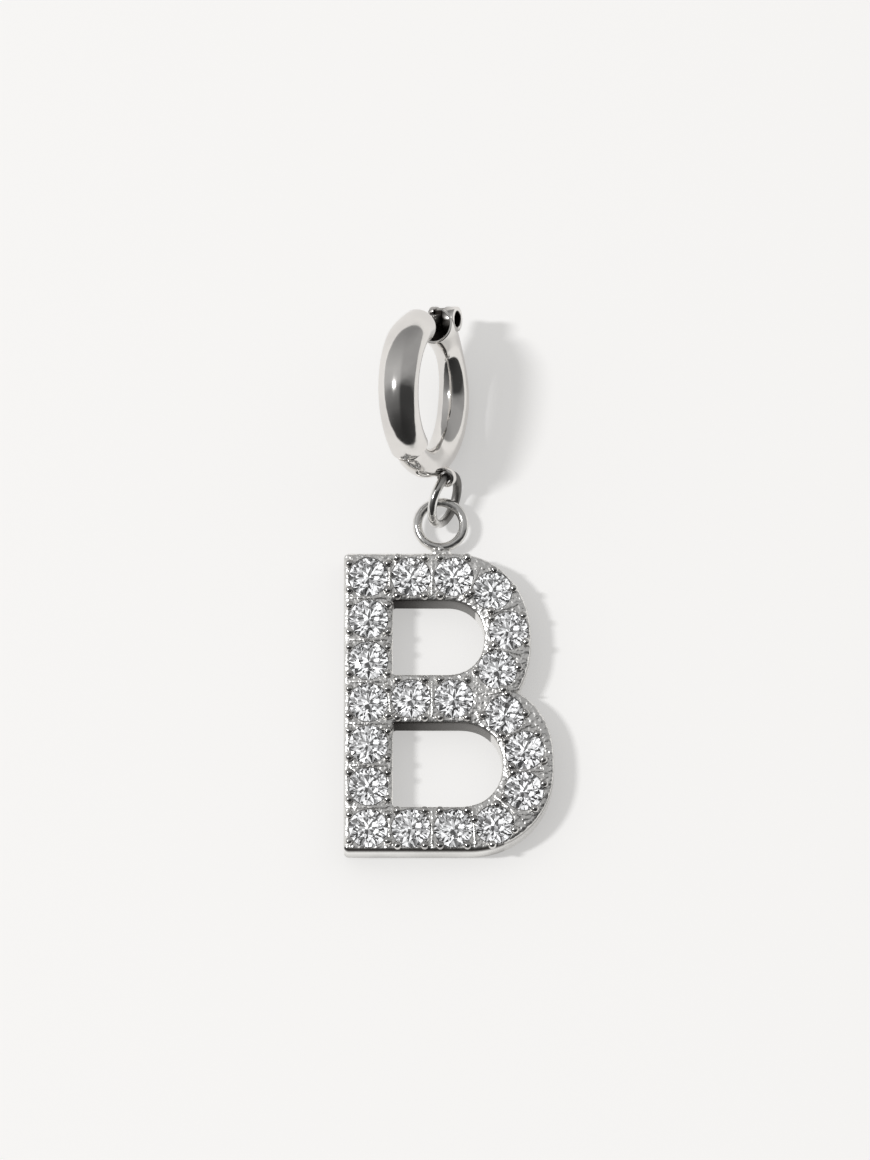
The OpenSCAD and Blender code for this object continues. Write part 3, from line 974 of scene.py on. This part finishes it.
    def solder(self) -> Mesh:
        """Makes the lump of solder between the ring and the letter.

        Returns:
            The lump's mesh.
        """
        bm = bmesh.new()
        for across, up, share in self.solder_lumps:
            spot = (self.ring_x + across * self.solder_d,
                    self.height + self.solder_gap / 2 + up * self.solder_d, self.thickness / 2)
            bmesh.ops.create_uvsphere(bm, u_segments=36, v_segments=20,
                                      radius=share * self.solder_d / 2,
                                      matrix=Matrix.Translation(spot))
        return bm

    def on_rim(self, point: Vector) -> bool:
        """Tells whether a point lies on the rim of a stone's seat."""
        seat = self.stone_r + self.gap + 0.02
        return any(math.hypot(point.x - row.x, point.y - row.y) < seat for row in self.rows())

    def plate_shade(self, vert: bmesh.types.BMVert) -> float:
        """Gives the painted shade of the openings' upper walls, of the bottom edge and of the foot
        of the round outer edge.

        Args:
            vert: A point of the plate.

        Returns:
            The painted shade.
        """
        point, normal = vert.co, vert.normal
        for end in (self.upper_counter, self.lower_counter):
            share = (point.x - self.stem) / (end.reach - self.stem)
            if -0.1 < share < 1.1 and end.foot - 0.3 < point.y < end.head + 0.3:
                in_wall = normal.y < -0.4 and end.head - point.y < 0.6
                dark = self.counter_dark - self.counter_fade * max(0.0, share)
                return dark if in_wall else 0.0
        if self.on_rim(point):
            return 0.0
        rise = (point.z - self.thickness + self.edge) / self.edge
        below_edge = rise < -0.05
        # Along the bottom edge: a painted dark band on the round edge and a painted contact shadow
        # at the wall's foot.
        if normal.y < -0.35 and point.y < 2 * self.edge:
            if below_edge:
                return self.back_dark if point.z < 0.01 else 0.0
            return self.front_dark if rise < 0.8 else self.rim_dark if rise < 0.98 else 0.0
        if below_edge or rise >= self.dark_rise:
            return 0.0
        return self.rim_dark * (1 - max(0.0, rise / self.dark_rise))

    def wall_smooth(self, vert: bmesh.types.BMVert) -> float:
        """Tells the plate's smooth walls, as 1, from its front, as 0."""
        return float(vert.co.z < self.thickness - 0.3 * self.edge)

    def build(self, silver: Material, bead_silver: Material, wire_silver: Material) -> None:
        """Makes and dresses the letter's pieces.

        Args:
            silver: The finish of the letter.
            bead_silver: The finish of its beads.
            wire_silver: The finish of its ring.
        """
        home = self.origin()
        plate = shaded(carved(self.plate(), [self.seat_cutter()]), self.plate_shade)
        plate = shaded(plate, self.wall_smooth, "smooth")
        piece("letter_plate", placed(plate, home), silver, Body.PENDANT, "letter_setting")
        beads = carved(self.beads(), [self.seat_cutter()], own=True)
        piece("setting_beads", placed(beads, home), bead_silver, Body.PENDANT)
        walls = carved(self.walls(), [self.seat_cutter()], own=True)
        piece("cell_walls", placed(walls, home), silver, Body.PENDANT)
        ring = wire_ring(self.ring_d, self.ring_wire)
        piece("letter_ring", placed(ring, home @ self.ring_place()), wire_silver, Body.PENDANT)
        piece("solder_joint", placed(self.solder(), home), silver, Body.PENDANT)


@dataclass
class JumpRing:
    """The loose ring between the letter's ring and the hoop's eye, and its place, in mm."""

    outer_d: float = 3.0
    wire: float = 0.45
    tip: float = 70.6
    turn: float = -23.2
    at: tuple[float, float, float] = (0.61074, 10.303, 1.42761)
    # Painted shade on the ring's side behind the letter's ring: how dark, where it starts across,
    # and over what width it fades in.
    dark: float = 0.75
    dark_from: float = -0.35
    dark_over: float = 0.5

    def place(self) -> Matrix:
        """Gives the ring's own plane."""
        return Matrix.Translation(self.at) @ turned(self.turn) @ turned(self.tip, "Y")

    def shade(self, vert: bmesh.types.BMVert) -> float:
        """Gives the painted shade of the ring's side that lies behind the letter's ring."""
        share = (vert.co.x - self.at[0] - self.dark_from) / self.dark_over
        return self.dark * min(1.0, max(0.0, share))

    def build(self, silver: Material) -> None:
        """Makes and dresses the ring."""
        ring = placed(wire_ring(self.outer_d, self.wire), self.place())
        piece("loose_ring", shaded(ring, self.shade), silver, Body.PENDANT, "jump_ring")


@dataclass
class Hoop:
    """The hinged hoop, in mm: its fixed half with mouth, cheeks and eye, its gate, and its pin."""

    mean_r: float = 3.56
    tube_r: float = 0.735
    belly_r: float = 0.785
    waist_r: float = 0.69
    lean: float = 67.4
    turn: float = -5.6
    at: tuple[float, float, float] = (-0.3311, 15.1796, 4.07163)
    foot_h: float = 0.88
    foot_w: float = 0.99
    gate_h: float = 0.77
    gate_w: float = 1.08
    end_h: float = 0.88
    end_w: float = 0.94
    mouth_h: float = 0.96
    mouth_w: float = 0.87
    mouth_wall: float = 0.16
    mouth_depth: float = 14.0
    mouth_at: float = 6.0
    waist_at: float = 44.0
    belly_at: float = 90.0
    slim_at: float = 305.0
    end_at: float = 330.0
    catch_at: float = 202.0
    catch_gap: float = 0.06
    catch_edge: float = 0.04
    pin_d: float = 0.74
    pin_l: float = 1.1
    pin_sink: float = 0.04
    pin_gap: float = 0.03
    cheek_d: float = 1.26
    cheek_edge: float = 0.035
    cheeks_l: float = 1.4
    cheeks_shift: float = 0.15
    slot_w: float = 0.48
    slot_gap: float = 0.06
    pin_out: float = 0.66
    pin_at: float = 15.0
    tongue_t: float = 0.46
    tongue_edge: float = 0.03
    knuckle_edge: float = 0.025
    tongue_back: float = 3.0
    tongue_out: float = 0.22
    catch_w: float = 0.5
    catch_l: float = 0.6
    catch_room: float = 0.08
    catch_root: float = 0.18
    dome: float = 0.22
    foot_lip: float = 0.03
    gate_lip: float = 0.05
    eye_wire: float = 0.22
    eye_w: float = 0.42
    eye_gap: float = 0.06
    eye_at: float = 134.0
    # Painted shade in the hinge: inside the mouth and the bore, and lighter where parts stand out
    # of the mouth.
    cheek_dark: float = 0.95
    open_dark: float = 0.5
    sides: int = 72
    step: float = 2.0

    def place(self) -> Matrix:
        """Gives the hoop's plane: X leans to the table, Y runs up the letter, Z is its axis."""
        return Matrix.Translation(self.at) @ turned(self.turn) @ turned(self.lean, "Y")

    def polar(self, angle: float, radius: float) -> Vector:
        """Gives the point at an angle from the hoop's top, in degrees, and at a radius."""
        turn = math.radians(angle)
        return Vector((radius * math.sin(turn), radius * math.cos(turn), 0))

    def station(self, angle: float, radius: float, half_h: float, half_w: float) -> Matrix:
        """Gives where a unit circle goes to be a section of the tube.

        Args:
            angle: The angle from the hoop's top, in degrees.
            radius: Distance of the section's middle from the hoop's axis.
            half_h: Half the section's height, out from the hoop's axis.
            half_w: Half its width, along the axis.

        Returns:
            The section's place.
        """
        out, along = self.polar(angle, 1.0), self.polar(angle + 90, 1.0)
        section = Matrix((out * half_h, Vector((0, 0, half_w)), along)).transposed().to_4x4()
        return Matrix.Translation(out * radius) @ section

    def half_at(self, table: Sequence[tuple[float, float, float]], angle: float) -> Point:
        """Gives the half height and half width of an arm at an angle.

        Args:
            table: The arm's stations: angle, half height and half width.
            angle: The angle from the hoop's top, in degrees.

        Returns:
            The half height and the half width.
        """
        i = 0
        while i < len(table) - 2 and angle > table[i + 1][0]:
            i += 1
        a, b = table[i], table[i + 1]
        share = min(1.0, max(0.0, (angle - a[0]) / (b[0] - a[0])))
        share = share * share * (3 - 2 * share)
        return a[1] + (b[1] - a[1]) * share, a[2] + (b[2] - a[2]) * share

    def frame_station(self, angle: float, inset: float = 0.0) -> Matrix:
        """Gives a section of the fixed half.

        Args:
            angle: The angle from the hoop's top, in degrees.
            inset: How much smaller it is all round.

        Returns:
            The section's place.
        """
        table = [(self.mouth_at, self.mouth_h, self.mouth_w),
                 (self.waist_at, self.waist_r, self.waist_r),
                 (self.belly_at, self.belly_r, self.belly_r),
                 (self.catch_at, self.tube_r, self.tube_r)]
        half_h, half_w = self.half_at(table, angle)
        return self.station(angle, self.mean_r, half_h - inset, half_w - inset)

    def gate_station(self, angle: float, share: float = 1.0, inset: float = 0.0,
                     sized_at: float = 0.0) -> Matrix:
        """Gives a section of the gate.

        Args:
            angle: The angle from the hoop's top, in degrees.
            share: Share of its full size.
            inset: How much smaller it is all round.
            sized_at: The angle whose size it takes, if not its own.

        Returns:
            The section's place.
        """
        table = [(self.catch_at, self.foot_h, self.foot_w),
                 (self.slim_at, self.gate_h, self.gate_w), (self.end_at, self.end_h, self.end_w)]
        half_h, half_w = self.half_at(table, sized_at or angle)
        return self.station(angle, self.mean_r + self.tube_r - half_h, half_h * share - inset,
                            half_w * share - inset)

    def angles(self, start: float, end: float) -> list[float]:
        """Gives evenly spread angles from start to end, in degrees."""
        count = math.ceil(abs(end - start) / self.step)
        return [start + (end - start) * i / count for i in range(count + 1)]

    def degrees(self, length: float) -> float:
        """Gives how many degrees of the hoop's middle line a length is."""
        return math.degrees(length / self.mean_r)

    def lip_run(self, radius: float) -> list[Point]:
        """Gives a rounded edge's steps: distance from the face, and inset of the section."""
        turns = [math.radians(90 * i / 4) for i in range(5)]
        return [(radius * (1 - math.sin(t)), radius * (1 - math.cos(t))) for t in turns]

    def pin_spot(self) -> Vector:
        """Gives the hinge pin's middle in the hoop's plane."""
        return self.polar(self.pin_at, self.mean_r + self.pin_out)

    def pin_place(self) -> Matrix:
        """Gives the move to the hinge pin's middle."""
        return Matrix.Translation(self.pin_spot())

    def tongue_root(self) -> Vector:
        """Gives where the tongue starts in the gate's end."""
        return self.polar(self.end_at - self.tongue_back, self.mean_r + self.tongue_out)

    def tongue_turn(self) -> Matrix:
        """Gives the frame of the tongue: X runs from the pin to the tongue's root."""
        way = self.tongue_root() - self.pin_spot()
        return self.pin_place() @ Matrix.Rotation(math.atan2(way.y, way.x), 4, "Z")

    def fixed_half(self) -> Mesh:
        """Makes the tube of the fixed half, with its hollow mouth and the room for the tongue.

        Returns:
            The tube's mesh, in the hoop's plane.
        """
        foot = self.catch_at - self.degrees(self.catch_gap / 2)
        deep = self.mouth_at + self.mouth_depth
        lip = self.mouth_wall / 2
        bore_h, bore_w = self.mouth_h - self.mouth_wall, self.mouth_w - self.mouth_wall
        places = [self.frame_station(foot - self.degrees(back), inset)
                  for back, inset in reversed(self.lip_run(self.foot_lip))]
        places += [self.frame_station(a) for a in
                   self.angles(foot - self.degrees(self.foot_lip), self.mouth_at + self.step)[1:]]
        places += [self.frame_station(self.mouth_at + self.degrees(back), inset)
                   for back, inset in self.lip_run(lip)]
        places += [self.frame_station(self.mouth_at + self.degrees(back), 2 * lip - inset)
                   for back, inset in reversed(self.lip_run(lip))]
        places += [self.station(a, self.mean_r, bore_h, bore_w)
                   for a in self.angles(self.mouth_at + self.step, deep - self.step)]
        places += [self.station(deep - back, self.mean_r, bore_h * share, bore_w * share)
                   for back, share in ((0.6, 0.9), (0.0, 0.6))]
        return carved(swept(places, self.sides), self.room_cutters())

    def room_cutters(self) -> list[Mesh]:
        """Makes the tools that cut the room for tongue, knuckle, pin, cheeks and catch.

        Returns:
            The tools' meshes, in the hoop's plane.
        """
        pin = self.pin_place()
        room_r, low = self.cheek_d / 2, self.cheeks_foot() + 0.02
        slot = (2 * self.mean_r, 2 * self.mean_r, self.slot_w)
        slot_y = self.tongue_t / 2 + self.slot_gap - self.mean_r
        return [
            placed(plug(room_r, -self.slot_w / 2, self.slot_w / 2), pin),
            placed(block(slot, (self.mean_r, slot_y, 0)), self.tongue_turn()),
            placed(plug(0.8 * room_r, low, low + self.cheeks_l - 0.04), pin),
            placed(plug(self.pin_d / 2 + self.pin_gap, -self.cheeks_l, self.cheeks_l), pin),
            self.catch_block(self.catch_room),
        ]

    def cheeks_foot(self) -> float:
        """Gives the height of the back cheek's outer face."""
        return self.cheeks_shift - self.cheeks_l / 2

    def catch_block(self, room: float = 0.0) -> Mesh:
        """Makes the catch's bar, or the socket that it goes into.

        Args:
            room: The socket's room round the bar, or 0 for the bar itself.

        Returns:
            The bar's or socket's mesh, in the hoop's plane.
        """
        low, high = -self.catch_l - room, 0.05 if room else self.catch_root
        side = self.catch_w + 2 * room
        bar = block((side, high - low, side), (self.mean_r, -(low + high) / 2, 0),
                    0.0 if room else self.catch_edge)
        return placed(bar, turned(90 - self.catch_at))

    def cheek(self, side: Cheek) -> Mesh:
        """Makes one cheek of the hinge.

        Args:
            side: Which of the two it is.

        Returns:
            The cheek's mesh, in the hoop's plane.
        """
        low, high = self.slot_w / 2, self.cheeks_foot() + self.cheeks_l
        if side is Cheek.BACK:
            low, high = self.cheeks_foot(), -self.slot_w / 2
        bore = self.pin_d / 2 + self.pin_gap
        return placed(washer(bore, self.cheek_d / 2, low, high, self.cheek_edge), self.pin_place())

    def gate_tube(self) -> Mesh:
        """Makes the gate's tube with its domed end.

        Returns:
            The tube's mesh, in the hoop's plane.
        """
        foot = self.catch_at + self.degrees(self.catch_gap / 2)
        places = [self.gate_station(foot + self.degrees(back), 1.0, inset)
                  for back, inset in reversed(self.lip_run(self.gate_lip))]
        places += [self.gate_station(a) for a in
                   self.angles(foot + self.degrees(self.gate_lip), self.end_at)[1:]]
        for tilt in (12, 24, 36, 48, 60, 70, 78, 84, 88):
            turn = math.radians(tilt)
            angle = self.end_at + self.degrees(self.dome) * math.sin(turn)
            places.append(self.gate_station(angle, math.cos(turn), sized_at=self.end_at))
        return swept(places, self.sides)

    def knuckle(self) -> list[Mesh]:
        """Makes the knuckle that turns on the pin, and the gate's tongue.

        Returns:
            The two meshes, in the hoop's plane.
        """
        half = self.slot_w / 2 - self.slot_gap
        length = (self.tongue_root() - self.pin_spot()).length
        bore = self.pin_d / 2 + self.pin_gap
        start = bore + 0.02
        knuckle = washer(bore, self.cheek_d / 2 - self.slot_gap, -half, half, self.knuckle_edge)
        tongue = block((length - start, self.tongue_t, 2 * half), ((length + start) / 2, 0, 0),
                       self.tongue_edge)
        return [placed(knuckle, self.pin_place()), placed(tongue, self.tongue_turn())]

    def eye(self, loose: JumpRing) -> Mesh:
        """Makes the eye under the hoop, round the jump ring's wire.

        Args:
            loose: The jump ring.

        Returns:
            The eye's mesh, in the row's frame.
        """
        radius = (loose.wire + self.eye_wire) / 2 + self.eye_gap
        side, half = (self.eye_w - self.eye_wire) / 2, self.eye_wire / 2
        turns = [math.radians(-90 + 180 * i / 8) for i in range(9)]
        profile = [(radius + half * math.sin(t), side + half * math.cos(t))
                   for t in reversed(turns)]
        profile += [(radius + half * math.sin(t), -side - half * math.cos(t)) for t in turns]
        middle = Matrix.Translation(((loose.outer_d - loose.wire) / 2, 0, 0))
        spot = turned(self.eye_at) @ middle @ turned(90, "X")
        return placed(lathe(profile, closed=True), loose.place() @ spot)

    def pin(self) -> Mesh:
        """Makes the hinge pin, with slightly domed ends.

        Returns:
            The pin's mesh, in the hoop's plane.
        """
        low = self.cheeks_foot() + self.pin_sink
        high, radius = low + self.pin_l, self.pin_d / 2
        end = [(0, 0), (radius * 0.7, 0.008), (radius * 0.93, 0.03), (radius, 0.07)]
        profile = [(out, low + back) for out, back in end]
        profile += [(out, high - back) for out, back in reversed(end)]
        return placed(lathe(profile, 48), self.pin_place())

    def from_pin(self, point: Vector) -> float:
        """Gives a point's distance from the pin's middle line."""
        return (point.xy - self.pin_spot().xy).length

    def frame_shade(self, vert: bmesh.types.BMVert) -> float:
        """Gives the painted shade of the mouth's hollow, darker deeper in, and of the hinge's slot
        in the fixed half.

        Args:
            vert: A point of the fixed half.

        Returns:
            The painted shade.
        """
        point = vert.co
        angle = math.degrees(math.atan2(point.x, point.y)) - self.mouth_at
        out = (point.xy.length - self.mean_r) / (self.mouth_h - self.mouth_wall + 0.02)
        side = point.z / (self.mouth_w - self.mouth_wall + 0.02)
        if 0.5 < angle < self.mouth_depth + 1 and math.hypot(out, side) < 1:
            return min(1.0, 0.45 + 0.1 * angle)
        in_slot = abs(point.z) < self.slot_w / 2 + 0.002 and self.from_pin(point) < self.cheek_d
        return 1.0 if in_slot else 0.0

    def cheek_shade(self, vert: bmesh.types.BMVert) -> float:
        """Gives the painted shade of the cheeks, darkest in the bore and in the mouth.

        Args:
            vert: A point of a cheek.

        Returns:
            The painted shade.
        """
        out = vert.co.xy.length - self.mean_r
        if self.from_pin(vert.co) < self.pin_d / 2 + 0.04:
            return 1.0
        if vert.co.z < self.slot_w / 2 + 0.05:
            return self.cheek_dark if out < 0.8 else self.open_dark
        return self.open_dark if out < 0.35 else 0.0

    def gate_shade(self, vert: bmesh.types.BMVert) -> float:
        """Gives the painted shade of knuckle and tongue, lighter where they stand out of the mouth.

        Args:
            vert: A point of the gate.

        Returns:
            The painted shade.
        """
        if self.from_pin(vert.co) > 2.2:
            return 0.0
        return 1.0 if vert.co.xy.length - self.mean_r < 0.9 else 0.6

    def build(self, silver: Material, loose: JumpRing) -> None:
        """Makes and dresses the hoop's pieces.

        Args:
            silver: The finish of the hoop.
            loose: The jump ring that hangs in its eye.
        """
        home = self.place()
        fixed = shaded(self.fixed_half(), self.frame_shade)
        piece("hoop_fixed_half", placed(fixed, home), silver, Body.PENDANT, "hoop_frame")
        cheeks = shaded(joined(self.cheek(side) for side in Cheek), self.cheek_shade)
        piece("hinge_cheeks", placed(cheeks, home), silver, Body.PENDANT)
        piece("hoop_eye", self.eye(loose), silver, Body.PENDANT)
        # The rivet is painted dark all over, as painted shade in its bore.
        rivet = shaded(self.pin(), lambda vert: self.cheek_dark)
        piece("rivet", placed(rivet, home), silver, Body.PENDANT, "hinge_pin")
        gate = joined([self.gate_tube(), self.catch_block(), *self.knuckle()])
        gate = shaded(gate, self.gate_shade)
        piece("hoop_gate_half", placed(gate, home), silver, Body.GATE, "hoop_gate")


@dataclass
class Studio:
    """The table, the light round it and the camera, in metres."""

    target: tuple[float, float, float] = (0.00013, 0.006093, 0.0017)
    towards: tuple[float, float, float] = (0.0, -0.235, 0.972)
    lens: float = 1000.0
    sensor: float = 36.0
    shown_height: float = 0.058
    table_size: float = 3.0
    table_tint: Colour = (1.0, 0.99, 0.98)
    table_tone: float = 0.65
    glow_tint: Colour = (1.0, 0.988, 0.97)
    table_glow: float = 0.495
    key_from: tuple[float, float, float] = (-0.59, 0.0, 0.80)
    key_distance: float = 1.5
    key_size: Point = (0.085, 0.25)
    key_power: float = 11.25
    left_ceiling: tuple[Point, ...] = (
        (0.05, 0.04), (0.16, 0.075), (0.27, 0.15), (0.37, 0.2), (0.44, 0.24),
        (0.475, 0.32), (0.54, 0.48), (0.66, 0.53), (0.85, 0.4), (0.97, 0.3))
    right_ceiling: tuple[Point, ...] = (
        (0.05, 0.03), (0.25, 0.05), (0.44, 0.055), (0.48, 0.15), (0.54, 0.32),
        (0.62, 0.4), (0.85, 0.37), (0.97, 0.28))
    ceiling_change: Point = (-0.3, -0.02)
    wall_tone: Colour = (0.95, 0.945, 0.93)
    wall_range: Point = (0.0, 0.09)
    panes: float = 2.8
    pane_range: Point = (0.4, 0.6)
    pane_light: Point = (0.06, 1.6)

    def table(self) -> None:
        """Makes the pale table."""
        bm = bmesh.new()
        bmesh.ops.create_grid(bm, x_segments=1, y_segments=1, size=self.table_size)
        mesh = bpy.data.meshes.new("table")
        bm.to_mesh(mesh)
        bm.free()
        table = bpy.data.objects.new("table", mesh)
        bpy.context.scene.collection.objects.link(table)
        paint, sheet, shader = new_material("pale table")
        sheet.fill(shader, {"Base Color": [self.table_tone * part for part in self.table_tint],
                            "Roughness": 0.9, "Specular IOR Level": 0.0,
                            "Emission Color": self.glow_tint, "Emission Strength": self.table_glow})
        mesh.materials.append(paint)

    def surroundings(self) -> None:
        """Makes the room: pale walls, a grey to dark ceiling, and bright panes for the stones."""
        world = bpy.data.worlds.new("studio")
        bpy.context.scene.world = world
        world.use_nodes = True
        sheet = NodeSheet(world.node_tree)
        place = sheet.add("ShaderNodeTexCoord").outputs["Generated"]
        way = sheet.add("ShaderNodeSeparateXYZ")
        sheet.fill(way, {"Vector": place})
        height = sheet.remap(way.outputs["Y"], (-1.0, 1.0), smooth=False)
        ceiling = sheet.mix(sheet.remap(way.outputs["X"], self.ceiling_change),
                            sheet.ramp(height, self.left_ceiling),
                            sheet.ramp(height, self.right_ceiling))
        room = sheet.mix(sheet.remap(way.outputs["Z"], self.wall_range), self.wall_tone, ceiling)
        panes = sheet.remap(sheet.noise(place, self.panes, 1.0), self.pane_range, self.pane_light)
        in_stone = sheet.add("ShaderNodeLightPath").outputs["Is Transmission Ray"]
        light = sheet.add("ShaderNodeBackground")
        sheet.fill(light, {"Color": sheet.mix(in_stone, room, panes)})
        sheet.fill(sheet.add("ShaderNodeOutputWorld"), {"Surface": light.outputs["Background"]})

    def aimed(self, data: bpy.types.ID, way: Sequence[float], distance: float) -> bpy.types.Object:
        """Puts a lamp or a camera where it looks at the pendant.

        Args:
            data: The lamp or camera.
            way: Direction from the pendant to it.
            distance: Its distance.

        Returns:
            Its object.
        """
        made = bpy.data.objects.new(data.name, data)
        direction = Vector(way).normalized()
        made.location = Vector(self.target) + direction * distance
        made.rotation_mode = "QUATERNION"
        made.rotation_quaternion = direction.to_track_quat("Z", "Y")
        bpy.context.scene.collection.objects.link(made)
        return made

    def key(self) -> None:
        """Makes the oval lamp that gives the shadow."""
        data = bpy.data.lights.new("key", "AREA")
        data.shape = "ELLIPSE"
        data.size, data.size_y = self.key_size
        data.energy = self.key_power
        self.aimed(data, self.key_from, self.key_distance).visible_camera = False

    def camera(self) -> None:
        """Makes the camera, far away with a long lens, at the photograph's angle."""
        data = bpy.data.cameras.new("camera")
        data.lens = self.lens
        data.sensor_width = self.sensor
        data.clip_start, data.clip_end = 0.05, 20.0
        distance = self.shown_height / 2 / (self.sensor / 2 / self.lens)
        bpy.context.scene.camera = self.aimed(data, self.towards, distance)

    def build(self) -> None:
        """Makes the whole studio."""
        self.table()
        self.surroundings()
        self.key()
        self.camera()
        bpy.context.scene.view_settings.view_transform = "Standard"
        bpy.context.scene.cycles.caustics_reflective = False
        log.info("studio: lens %.0f mm", self.lens)


def set_stones(finish: StoneFinish) -> None:
    """Gives the cut stones their finish.

    Args:
        finish: The stones' finish.
    """
    clear = finish.material()
    names = [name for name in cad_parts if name.startswith("stone_")]
    for name in names:
        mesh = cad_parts[name].data
        mesh.materials.clear()
        mesh.materials.append(clear)
    log.info("stones: %d in %s", len(names), finish.name)


def main() -> None:
    """Builds the pendant's looks and its studio."""
    logging.basicConfig(level=logging.INFO, format="%(name)s: %(message)s")
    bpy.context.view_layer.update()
    effects = PolishMarks().group(), PaintedShade().group()
    polished, worked, beaded, drawn = (
        finish.material(*effects) for finish in (POLISHED, WORKED, BEADED, DRAWN))
    loose = JumpRing()
    Letter().build(worked, beaded, drawn)
    loose.build(drawn)
    Hoop().build(polished, loose)
    set_stones(StoneFinish())
    Studio().build()


if __name__ == "__main__":
    main()
